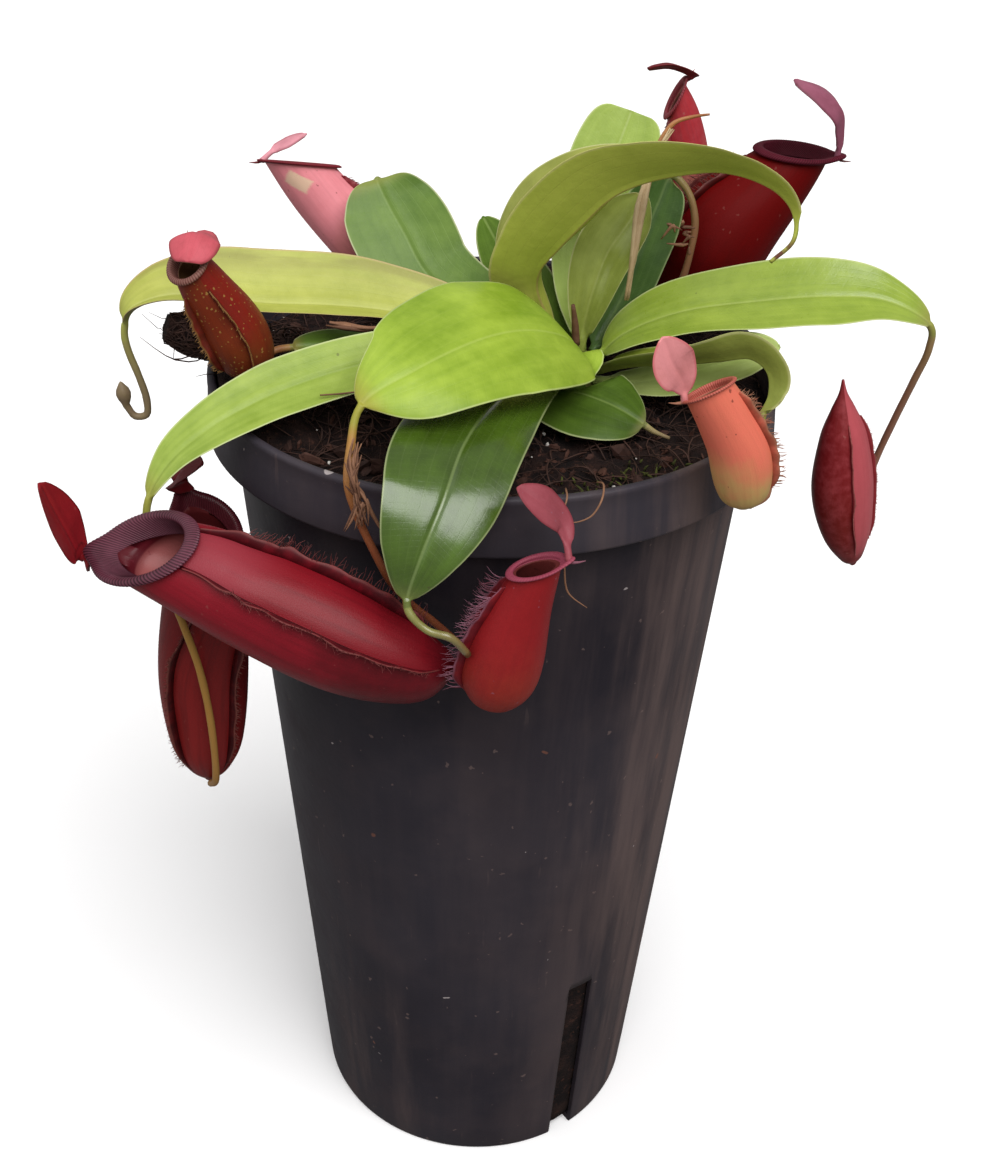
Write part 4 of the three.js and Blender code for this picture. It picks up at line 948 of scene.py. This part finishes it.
# girth is the radius at shares of the axis, front what the wings' side looks at, slant how far the
# mouth leans back, band the depth and width of the ribs inside it, peak its rise at the lid, wings
# their degrees off the front, start, end and height, and dots their colour, scale, size, amount and
# strength
usualCup = dict(
    flat=1, wall=1, lean=0, peak=0, roll=0.6, band=(1.6, 0.8), ridgeGap=0.56, ridge=0.075, hair=1,
    streak=0.35, specular=0.16, slot="pitcher_crimson")
usualLid = dict(bend=0.3, fold=0.04, wave=cupForm["lidRipple"], start=0.12, blunt=0.5)
cups = {
    "pitcher_large": dict(
        axis=[[-7.5, -83, 219], [-15.5, -83.5, 219], [-25, -83.5, 222], [-39, -82, 228],
        [-55.5, -80, 235.5], [-69.5, -77.5, 241.5], [-80, -76, 245]], front=[0.2, -0.5, 0.85],
        girth=[[0, 1.6], [0.03, 5], [0.12, 9.6], [0.34, 13], [0.58, 13], [0.82, 11.4], [1, 8.6]], wall=1.2,
        slant=1.1, lip=1.4, roll=0.8, ridge=0.12, ridgeGap=0.74, band=(5.2, 2.1), peak=1.7,
        lid=dict(rib=[[-97.5, -68, 237], [-101, -68, 245], [-105.5, -67, 256.5]], face=[0.95, -0.05, 0.25],
        halfWidth=8.5, start=0.3), wings=(34, 0.06, 0.9, 2.6), wingEnd=0.975, fringe=3.6, hair=0.75,
        gloss=0.42, coat=0.24, sheen="a23c48", low="64101a", high="901626", face="86141f",
        lipLight="7a4353", lipDeep="300b17", inner="a45a58", innerDots="6e2430", innerPaintedShade="5a141e",
        lidTone="9a1e26", lidUnder="8a1a22", wingTone="4e0c14", fringeTone="96504c"),
    "pitcher_front": dict(
        axis=[[1.5, -86, 211], [3.5, -87, 220.5], [5.5, -88, 230], [8, -89, 241], [11, -90, 251.5]],
        front=[-0.95, 0.25, 0.2], girth=[[0, 3], [0.05, 6.4], [0.2, 9.2], [0.42, 9.2], [0.72, 6.9],
        [1, 4.8]], wall=1.1, slant=0.75, lip=0.9, roll=0.55, ridge=0.03, band=(0.8, 0.3), peak=1.2,
        lid=dict(rib=[[16.5, -86, 260], [12, -88, 266], [6, -88, 270.5]], face=[0.5, -0.5, 0.7],
        halfWidth=4.6), wings=(30, 0.1, 0.92, 2), fringe=4.4, gloss=0.5, coat=0.08, streak=0.12,
        low="a23428", high="9e2024", face="861a1e", lipLight="b0566a", lipDeep="8a2e42", inner="6a2c2a",
        innerDots="4a1c1c", lidTone="a4505a", lidUnder="b45a62", wingTone="6c1a22", fringeTone="a8788c"),
    "pitcher_left_hanging": dict(
        axis=[[-75, -50.3, 155.5], [-75.4, -49.3, 168], [-75.2, -48.3, 185], [-73.8, -47.8, 203],
        [-72.4, -47.8, 219], [-71, -47.8, 234]], front=[0.1, -1, 0.2], frontTop=[0.8, -0.65, 0.2],
        girth=[[0, 2], [0.05, 6], [0.16, 9.8], [0.4, 11.8], [0.7, 11], [1, 8]], flat=0.9, wall=1.1,
        slant=0.6, lip=1.2, roll=0.8, band=(2.6, 1.2), peak=1.8, lid=dict(rib=[[-77, -40.5, 242.5],
        [-77, -42.5, 247], [-71, -45, 251]], face=[-0.2, -0.4, 0.9], halfWidth=5.5),
        wings=(40, 0.1, 0.92, 2), fringe=1.6, gloss=0.42, coat=0.2, low="861e1c", high="721618",
        face="8c2020", lipLight="6a2c36", lipDeep="3a0c12", inner="5c1e20", innerDots="5a2420",
        lidTone="6c161c", lidUnder="6c161c", wingTone="3c0a0e", fringeTone="9a5a50"),
    "pitcher_left_bronze": dict(
        axis=[[-61, -25, 267.5], [-62.5, -26, 274], [-66, -27, 282], [-70, -29, 290], [-73.5, -31, 297.5]],
        front=[-0.3, -0.9, 0.3], girth=[[0, 5], [0.1, 7], [0.35, 8], [0.7, 6.4], [1, 4.6]], slant=0.3,
        lip=0.9, roll=0.7, slot="pitcher_bronze", lid=dict(rib=[[-71.5, -25, 302], [-71.5, -30, 304],
        [-72.5, -37, 300]], face=[0, -0.3, 1], halfWidth=6.6, bend=-0.6, fold=0, blunt=0.3),
        wings=(36, 0.1, 0.85, 1.6), fringe=1.3, gloss=0.46, coat=0.12,
        dots=("b08c48", 1100.0, 0.3, 0.4, 0.7), low="783a1e", high="881c12", face="7e3418",
        lipLight="a07468", lipDeep="5c2420", inner="8f6a48", innerDots="4a2018", lidTone="da606c",
        lidUnder="b08a66", wingTone="5e2418", fringeTone="a88448"),
    "pitcher_back_rose": dict(
        axis=[[-30.5, 53, 258], [-35, 55, 266], [-42, 56, 274.5], [-49.5, 57.5, 283], [-57, 58, 293]],
        front=[0.8, 0.45, 0.6], girth=[[0, 2.5], [0.1, 7], [0.4, 9], [0.75, 8.8], [1, 7.6]], slant=0.9,
        lip=1, slot="pitcher_rose", lid=dict(rib=[[-64.3, 58, 296.6], [-60, 57.5, 299], [-54.5, 57, 302]],
        face=[0.1, -0.45, 0.7], halfWidth=2), wings=(30, 0.2, 0.92, 2), fringe=1.2, gloss=0.5, coat=0.1,
        streak=0.12, dots=("a0564e", 700.0, 0.2, 0.2, 0.7), patch=("f6d6b4", 0.87, -0.68), low="f0948a",
        high="ff9ca4", face="f4868e", lipLight="96303c", lipDeep="6a1420", inner="c87a7c",
        innerDots="8a3a40", lidTone="f4a8b4", lidUnder="f0a0ac", wingTone="7a1a24", fringeTone="7a3030"),
    "pitcher_right_coral": dict(
        axis=[[60, -64, 255], [59, -65, 261.5], [57, -66, 270], [53, -67, 278], [48.5, -68, 285.5]],
        front=[0.8, 0.2, 0.6], girth=[[0, 3], [0.1, 6], [0.35, 7.2], [0.7, 6.5], [1, 5.6]], slant=0.15,
        lean=0.4, lip=0.7, band=(1.4, 0.6), slot="pitcher_coral", lid=dict(rib=[[42, -70, 288.5],
        [39, -72, 294], [36.5, -72.5, 300]], face=[0.3, -0.8, 0.3], halfWidth=5.5, edge="c8404c"),
        wings=(30, 0.15, 0.9, 1.6), fringe=2.0, gloss=0.52, coat=0.08, streak=0.15,
        dots=("6a2e26", 420.0, 0.2, 0.22, 0.7), low="d2b46e", high="fa8068", face="ee8464",
        lipLight="e08070", lipDeep="a04438", inner="b4725c", innerDots="7a3028", lidTone="f69ea0",
        lidUnder="e8988c", wingTone="aa5a44", fringeTone="b08a6c"),
    "pitcher_right_unopened": dict(
        axis=[[101.5, -14, 208.5], [98.5, -14, 218.5], [95.5, -14, 231], [93.5, -14, 246],
        [91, -14, 263.5]], front=[0.8, -0.6, 0], flat=0.8, slant=0, girth=[[0, 1.5], [0.04, 4], [0.2, 8],
        [0.45, 9.8], [0.7, 7.4], [0.84, 4], [0.93, 1.4], [1, 0.4]], wings=(38, 0.1, 0.8, 0.9), fringe=0.5,
        gloss=0.42, coat=0.2, streak=0.2, low="7a1a14", high="7e181c", face="d4626a", wingTone="8c2c32",
        fringeTone="b07068"),
    "pitcher_right_dark": dict(
        axis=[[49, 22, 265], [54, 24, 275], [61, 27, 286.5], [71, 30, 299], [79.5, 31.5, 308.5]],
        front=[-0.7, 0.2, 0.7], girth=[[0, 2.5], [0.08, 8.5], [0.35, 15], [0.65, 13.5], [1, 7.8]],
        flat=0.95, wall=1.2, slant=0.7, lean=0.22, lip=1.2, roll=0.8, band=(3.2, 1.5), peak=1.6,
        slot="pitcher_maroon", lid=dict(rib=[[90.5, 30, 314.5], [89.5, 29.5, 320], [84, 29, 325],
        [76.5, 30, 328]], face=[-0.7, 0.3, -0.6], halfWidth=5.4, start=0), wings=(30, 0.15, 0.9, 2),
        fringe=2.8, gloss=0.56, coat=0.02, specular=0.05, streak=0.2, low="580a0a", high="680808",
        face="660a09", lipLight="6a2434", lipDeep="340a12", inner="5a1c26", innerDots="1e0810",
        lidTone="a8687c", lidUnder="a05a70", wingTone="46100e", fringeTone="8c524a"),
    "pitcher_top_red": dict(
        axis=[[54, 48, 285], [54, 48.5, 292], [53, 48.5, 301], [50.5, 48.5, 310.5], [48, 48, 317.5]],
        front=[-1, -0.1, 0], girth=[[0, 1.5], [0.1, 4], [0.35, 5.6], [0.7, 5.4], [1, 3.4]], slant=1,
        lip=0.8, band=(1.2, 0.5), lid=dict(rib=[[52, 47, 324], [46, 46, 326.5], [39.5, 45, 326]],
        face=[0.2, 0.2, 0.9], halfWidth=3), wings=(30, 0.15, 0.9, 1.2), fringe=1.0, gloss=0.45, coat=0.15,
        low="ecac92", high="b8323a", face="cc5c66", lipLight="a85058", lipDeep="7a222c", inner="a8685e",
        innerDots="7a2e3a", lidTone="6c141a", lidUnder="762028", wingTone="8c323c", fringeTone="b07a70"),
}


class Cup:  # places on the wall of one pitcher
    def __init__(self, s):
        self.s, self.axis, self.mouth = s, points(s["axis"]), s["girth"][-1][1]
        self.shares, self.ts, self.length = routeSteps(self.axis)
        pairs = np.array([girthAt(s["girth"], t) for t in np.linspace(0, 1, 240)])
        self.girths = pairs[np.argsort(pairs[:, 0], kind="stable")]

    def frame(self, share):
        t = float(np.interp(np.clip(share, 0, 1), self.shares, self.ts))
        tangent = routeTangent(self.axis, t)
        fronts = [self.s["front"], self.s.get("frontTop", self.s["front"])]
        front = across(blendList(fronts, float(ease(share, 0.4, 1))), tangent)
        return routeAt(self.axis, t), tangent, front, np.cross(tangent, front)

    def size(self, share):
        return float(np.interp(share, self.girths[:, 0], self.girths[:, 1]))

    def ring(self, share, sizes, angles, rise=0.0):
        centre, tangent, front, side = self.frame(share)
        forward, aside = np.cos(angles) * sizes * self.s["flat"], np.sin(angles) * sizes
        tilt = self.s["slant"] * forward + self.s["lean"] * aside
        along = rise - float(ease(share, 0.5, 1)) * tilt
        return centre + np.outer(forward, front) + np.outer(aside, side) + np.outer(along, tangent)


def addCupBody(skin, cup, seed):
    s, mouth, opens = cup.s, cup.mouth, "lip" in cup.s
    rim = 2 * math.pi * mouth * math.sqrt(1 + (s["slant"] ** 2) / 2)
    count = 4 * max(24, round(rim / s["ridgeGap"])) if opens else 96  # four points to each ridge
    angles = circle(count) - math.pi
    ridge = np.cos(np.arange(count) * math.pi / 2) * s["ridge"]
    fromBack = math.pi - np.abs(angles)
    toBack = np.exp(-(fromBack / 0.3) ** 2) * s["peak"]
    blank, rows, spots = np.ones(count), [], []

    def add(share, sizes, zone, rise=0.0):
        rows.append(cup.ring(share, sizes, angles, rise))
        spots.append(np.stack([blank * share, angles / math.pi, blank * zone], axis=1))

    foot = s["girth"][0][1]
    add(0, blank * foot * 0.55, 0, -1.1)
    add(0, blank * foot * 0.9, 0, -0.5)
    for t in np.arange(cupForm["rows"] + 1) / cupForm["rows"]:
        share = (cupForm["bodyEnd"] if opens else 1.0) * (0.4 * t + 0.6 * (0.5 - 0.5 * math.cos(math.pi * t)))
        dent = vec(*(wobble(share * 3.2, math.cos(a), math.sin(a), 1, seed) for a in angles))
        add(share, cup.size(share) * (1 + 0.02 * dent), 0)
    if opens:
        lip, roll, (down, inward) = s["lip"], s["roll"], s["band"]
        for bearing in np.linspace(*cupForm["rollBearings"]):
            turn = math.radians(bearing)
            out = lip * (0.75 + math.cos(turn)) * (1 + roll) / 2
            deep = float(ease(bearing, -85, -20))
            add(1, mouth + out + (ridge + toBack) * deep, 1, lip * roll * math.sin(turn) + toBack * 0.5)
        # a ribbed band slopes down into the throat and ends in a thin edge
        fall = down * (0.35 + 0.65 * np.abs(np.sin(angles)))
        inward = inward * (1 - 0.65 * np.exp(-(fromBack / 0.8) ** 2))
        for t in cupForm["bandSteps"]:
            back = toBack * (1 - t)
            add(1, mouth - 0.3 - (inward - 0.3) * t ** 0.8 + ridge * 0.8 + back, 1, -fall * t + back * 0.5)
        add(1, mouth - inward - 0.1, 1.6, -fall - 0.3)
        add(1, blank * (mouth - s["wall"] * 0.9), 2, -fall - 0.1)
        add(1, blank * (mouth - s["wall"] * 0.9), 2, -down - 0.4)
        for share in np.linspace(0.98 - (down + 1) / cup.length, 0.14, 34):
            add(share, blank * (cup.size(share) - s["wall"]), 2)
    traits = [np.stack([0 * blank, ridge, np.abs(angles) / math.pi], axis=1)] * len(rows)
    addRows(skin, rows, spots, traits)


def addWings(skin, cup, seed):
    s, draw = cup.s, random.Random(int(seed * 10))
    off, start, end, full = s["wings"]
    start *= 0.6
    for sign in (-1, 1):
        rows, spots, tips = [], [], []
        for t in np.arange(cupForm["wingRows"] + 1) / cupForm["wingRows"]:
            share = between(start, s.get("wingEnd", end), t)
            height = 1.35 * full * float(ease(t, 0, 0.16) * (1 - 0.6 * ease(t, 0.88, 1)))
            height *= 0.85 + 0.25 * wobble(share * 14, sign, 0, 1, seed)
            lean = 0.06 * wobble(share * 11, sign * 4, 2, 1, seed)
            size, outline = cup.size(share), []
            for rise, turn, _ in cupForm["wingOutline"]:
                out = cupForm["wingRoot"] if rise < 0 else height * rise
                bearing = sign * math.radians(off) + turn / max(size, 2) + lean * max(out, 0) / max(full, 0.1)
                outline.append(cup.ring(share, vec(size + out), vec(bearing))[0])
            rows.append(np.array(outline))
            spots.append(np.array([(share, sign, h) for _, _, h in cupForm["wingOutline"]]))
            tip = (outline[2] + outline[3]) / 2
            tips.append((share, tip, unit(tip - (outline[0] + outline[5]) / 2 + 1e-6)))
        addRows(skin, rows, spots, spots, look=1)
        hairs = max(1, round(cup.length * (end - s["wings"][1]) / cupForm["hairGap"]))
        for k in range(hairs):
            share, tip, out = tips[min(int((k + draw.random()) / hairs * len(tips)), len(tips) - 1)]
            if not 0.04 < (share - start) / (end - start) < 0.97:
                continue
            _, tangent, _, side = cup.frame(share)
            for h in range(draw.choice((1, 1, 2, 3))):
                way = unit(out + tangent * draw.gauss(0.05, 0.3) + side * draw.gauss(0, 0.25))
                length = s["fringe"] * draw.uniform(0.45, 1.0)
                bend = side * draw.gauss(0, 0.35) + tangent * draw.gauss(0, 0.3)
                route = [tip - out * 0.3, tip + way * length * 0.5, tip + (way + bend * 0.4) * length]
                radii = [r * s["hair"] for r in (0.1, 0.08, 0.03)]
                addTube(skin, route, radii, 4, (draw.random(), draw.random()), 4, look=2)


def addLid(skin, cup, seed):
    s, lid = cup.s, {**usualLid, **cup.s["lid"]}
    centre, tangent, front, _ = cup.frame(1)
    back = (cup.mouth + s["lip"] * 0.5 + 0.9 * s["peak"]) * s["flat"]
    neck = centre - front * back + tangent * s["slant"] * back
    route, rows = [neck] + points(lid["rib"]), []
    for share in np.arange(cupForm["lidRows"]) / (cupForm["lidRows"] - 1):
        way = routeTangent(route, share)
        up = across(vec(*lid["face"]), way)
        radius = between(0.85, 0.3, share)
        along = float(ease(share, lid["start"], 1)) * 0.5 + share * 0.5
        width = max(lid["halfWidth"] * bladeOutline(along, 0.8, lid["blunt"]), radius)
        rows.append(leafRing(routeAt(route, share), way, up, radius, [width, width], lid, share, 0, seed))
    addRows(skin, *zip(*rows), look=3)
    # the spur behind the neck
    away = unit(tangent * 0.3 - front * 0.8)
    spur = [neck - away * 0.6, neck + away * 1.6, neck + away * 3.4 + tangent * 0.8]
    addTube(skin, spur, (0.55, 0.35, 0.08), 6, (0.2, 0.4), 5, look=2)


def skinLook(name, s, seed):
    look, into = startLook(name + "Skin", s["gloss"], s["coat"] * 0.5, 0.25, s["specular"])
    (along, bearing, zone), (_, ridge, turn) = painted("spot"), painted("trait")
    cloud = useGroup(patches, 70.0, 0.35, 0.7, seed)[0]
    grain, fine = useGroup(patches, 420.0, 0.35, 0.7, seed + 2)
    around = field("CombineXYZ", {0: bearing * 22.0, 1: along * 2.2, 2: seed})
    streak = noiseAt(around, 1.0, 3.0)
    edge = s["wings"][0] / 180
    onFace = spread(turn, edge * 0.9, edge * 1.02, 1.0, 0.0) * spread(along, 0.02, 0.12)
    base = layered(
        mixTone(spread(along + (cloud - 0.5) * 0.25, 0.05, 0.6), s["low"], s["high"]),
        (onFace * 0.75, s["face"]), (spread(streak, 0.4, 0.75) * s["streak"], s["wingTone"]),
        (grain * 0.22, s["face"]))
    # painted sheen: a pink highlight painted on the face between the wings, towards the mouth
    if "sheen" in s:
        base = mixTone(onFace * spread(along, 0.55, 0.95) * 0.7, base, s["sheen"])
    if "patch" in s:  # a dried patch of skin
        patchTone, patchAlong, patchBearing = s["patch"]
        far = abs(along - patchAlong) * 9.0 + abs(bearing - patchBearing) * 5.0 + fine * 0.5
        base = mixTone(spread(far, 0.85, 1.05, 1.0, 0.0) * 0.85, base, patchTone)
    colour, scale, size, amount, strength = s.get("dots", (s["fringeTone"], 520.0, 0.16, 0.16, 0.35))
    base = mixTone(useGroup(specks, scale, size, amount)[0] * strength, base, colour)
    rough = fine * 0.2 + (s["gloss"] - 0.1)
    if "lip" in s:
        onLip, inside = spread(zone, 0.35, 0.65), spread(zone, 1.35, 1.65)
        lipTone = mixTone(spread(ridge, -0.07, 0.07) * 0.6 + cloud * 0.35, s["lipDeep"], s["lipLight"])
        wall = s["inner"]
        # painted shade: the inner wall turns darker towards the mouth, standing in for the shadow under the
        # ribbed band
        if "innerPaintedShade" in s:
            wall = mixTone(spread(along, 0.86, 0.94), wall, s["innerPaintedShade"])
        wall = mixTone(useGroup(specks, 380.0, 0.22, 0.35)[0] * 0.55, wall, s["innerDots"])
        base = layered(base, (onLip, lipTone), (inside, wall))
        rough = rough - (onLip - inside) * 0.08
    join(base, into["Base Color"])
    join(rough, into["Roughness"])
    addBump(into, fine + streak * 0.8, 0.3, 0.3)
    return look


def wingLook(name, s, seed):
    look, into = startLook(name + "Wing", specular=0.18)
    height = painted("spot")[2]
    cloud = useGroup(patches, 260.0, 0.4, 0.7, seed)[0]
    onEdge = spread(height, 0.7, 1.0) * 0.5
    join(layered(s["wingTone"], (cloud * 0.5, s["high"]), (onEdge, s["fringeTone"])), into["Base Color"])
    return look


def lidLook(name, s, seed):
    look, into = startLook(name + "Lid", roughness=0.48, coat=s["coat"] * 0.2, specular=0.18)
    (along, cross, upper), fromMargin = painted("spot"), painted("trait")[2]
    cloud, fine = useGroup(patches, 150.0, 0.35, 0.7, seed + 4)
    veins = useGroup(leafLines, along, cross, 22.0, seed)[0]
    join(layered(
        s["lidUnder"], (upper, s["lidTone"]), (veins * 0.12, s["wingTone"]), (cloud * 0.25, s["wingTone"]),
        (useGroup(specks, 560.0, 0.16, 0.25)[0] * 0.45, s["fringeTone"]),
        (spread(fromMargin, 0.1, 0.9, 1.0, 0.0) * 0.45, s["lid"].get("edge", s["wingTone"]))),
        into["Base Color"])
    addBump(into, fine, 0.3, 0.25)
    return look


for number, (name, own) in enumerate(cups.items()):
    seed, s = 2.0 + number * 1.3, {**usualCup, **own}
    cup, skin = Cup(s), newSkin()
    addCupBody(skin, cup, seed)
    addWings(skin, cup, seed)
    looks = [skinLook(name, s, seed), wingLook(name, s, seed)]
    looks.append(barkLook(name + "Fringe", s["wingTone"], s["fringeTone"], 0.55))
    if "lid" in s:
        addLid(skin, cup, seed)
        looks.append(lidLook(name, s, seed))
    makePiece(name + "_cup", skin, looks, [name])
print("stage: pitchers")


# ---- what has dried or hangs loose on the plant

scraps = {
    # the dried bundle beside the front leaf's tendril, with frayed claws
    "straw": ((-29.8, -75, 273.8), (-30.8, -77.5, 270), (-30.6, -79, 265.7), (-29.2, -80, 261.2),
              (-28.1, -80.5, 256.2)),
    "claws": (((-29.4, -80, 261), (-31.3, -80.4, 257.2), (-32.7, -80.4, 254.2)),
              ((-28.6, -80.3, 261), (-29.2, -80.9, 257.6), (-29.9, -80.9, 254.6)),
              ((-27.9, -79.6, 261), (-25.7, -79.8, 256.8), (-23.6, -79.8, 253))),
    # thin roots that loop over the rim at the front and left
    "roots": (((25.2, -64, 259), (26.2, -71, 262.3), (25.5, -77.6, 262), (24.3, -78.4, 259.6),
               (23, -78.6, 258), (20.1, -78.6, 256.6), (17.2, -78.4, 256.4)),
              ((17.6, -70, 260.5), (17.6, -77, 261.6), (16.8, -78.2, 258.8)),
              ((17.7, -79, 246.1), (18.5, -79, 238.9), (19.7, -79, 236.7), (23.7, -79, 233.5)),
              ((-42, -40, 267.9), (-36.1, -38, 267.6), (-30.1, -36, 267.8), (-24.1, -34, 268.3))),
    "stub": ((20.2, -8, 279.7), (21.1, -7, 273.7), (21.6, -6.4, 268)),
    "strip": ((-42.3, -13.4, 275.6), (-38, -13.2, 274.4), (-33, -12.6, 273.6), (-27.7, -12, 274.2)),
    "tail": ((34.2, -6, 281), (35.2, -5, 292), (36.4, -1, 304), (39.6, 5, 315), (43.7, 9, 320.6)),
    "flower": (49.2, 5, 294), "strands": 22, "petals": 9, "seed": 47,
}


def addScraps():
    draw, skin = random.Random(scraps["seed"]), newSkin()

    def strand(route, radii, loose=0.0, count=1, sides=5):
        for _ in range(count):
            moved = [vec(*p) + jitter(draw, loose) for p in route]
            addTube(skin, moved, radii, sides, (draw.random(), draw.random()))

    for k in range(scraps["strands"]):
        strand(scraps["straw"][k % 3:4 + k % 2], (0.12, 0.42, 0.3, 0.1), 0.75)
    for route in scraps["claws"]:
        strand(route, (0.4, 0.3, 0.06), 0.3, 3)
    for route in scraps["roots"]:
        strand(route, (0.22, 0.26, 0.2, 0.1))
    strand(scraps["stub"], (0.5, 0.95, 1.1), sides=8)
    strand(scraps["strip"], (0.2, 0.7, 0.6, 0.2), 0.35, 4)
    for k in range(scraps["petals"]):
        start = vec(*scraps["flower"]) + jitter(draw, 1.4)
        middle = start + vec(draw.gauss(0, 1.5), 0, draw.gauss(0, 1))
        strand([start, middle, start + vec(draw.gauss(0, 2.5), 0, draw.gauss(-1, 1.5))], (0.2, 0.6, 0.15))
    makePiece("plant_dried", skin, [barkLook("driedPlant", "4a2a20", "a87a5c", 0.7)])
    # the young leaf's dried edge, a pale twisted ribbon
    skin = newSkin()
    strand(scraps["tail"], (0.3, 0.75, 0.7, 0.5, 0.12), 0.4, 6)
    makePiece("plant_dried_edge", skin, [barkLook("driedEdge", "a07c50", "dcc49c", 0.6)])


addScraps()
print("stage: dried pieces")
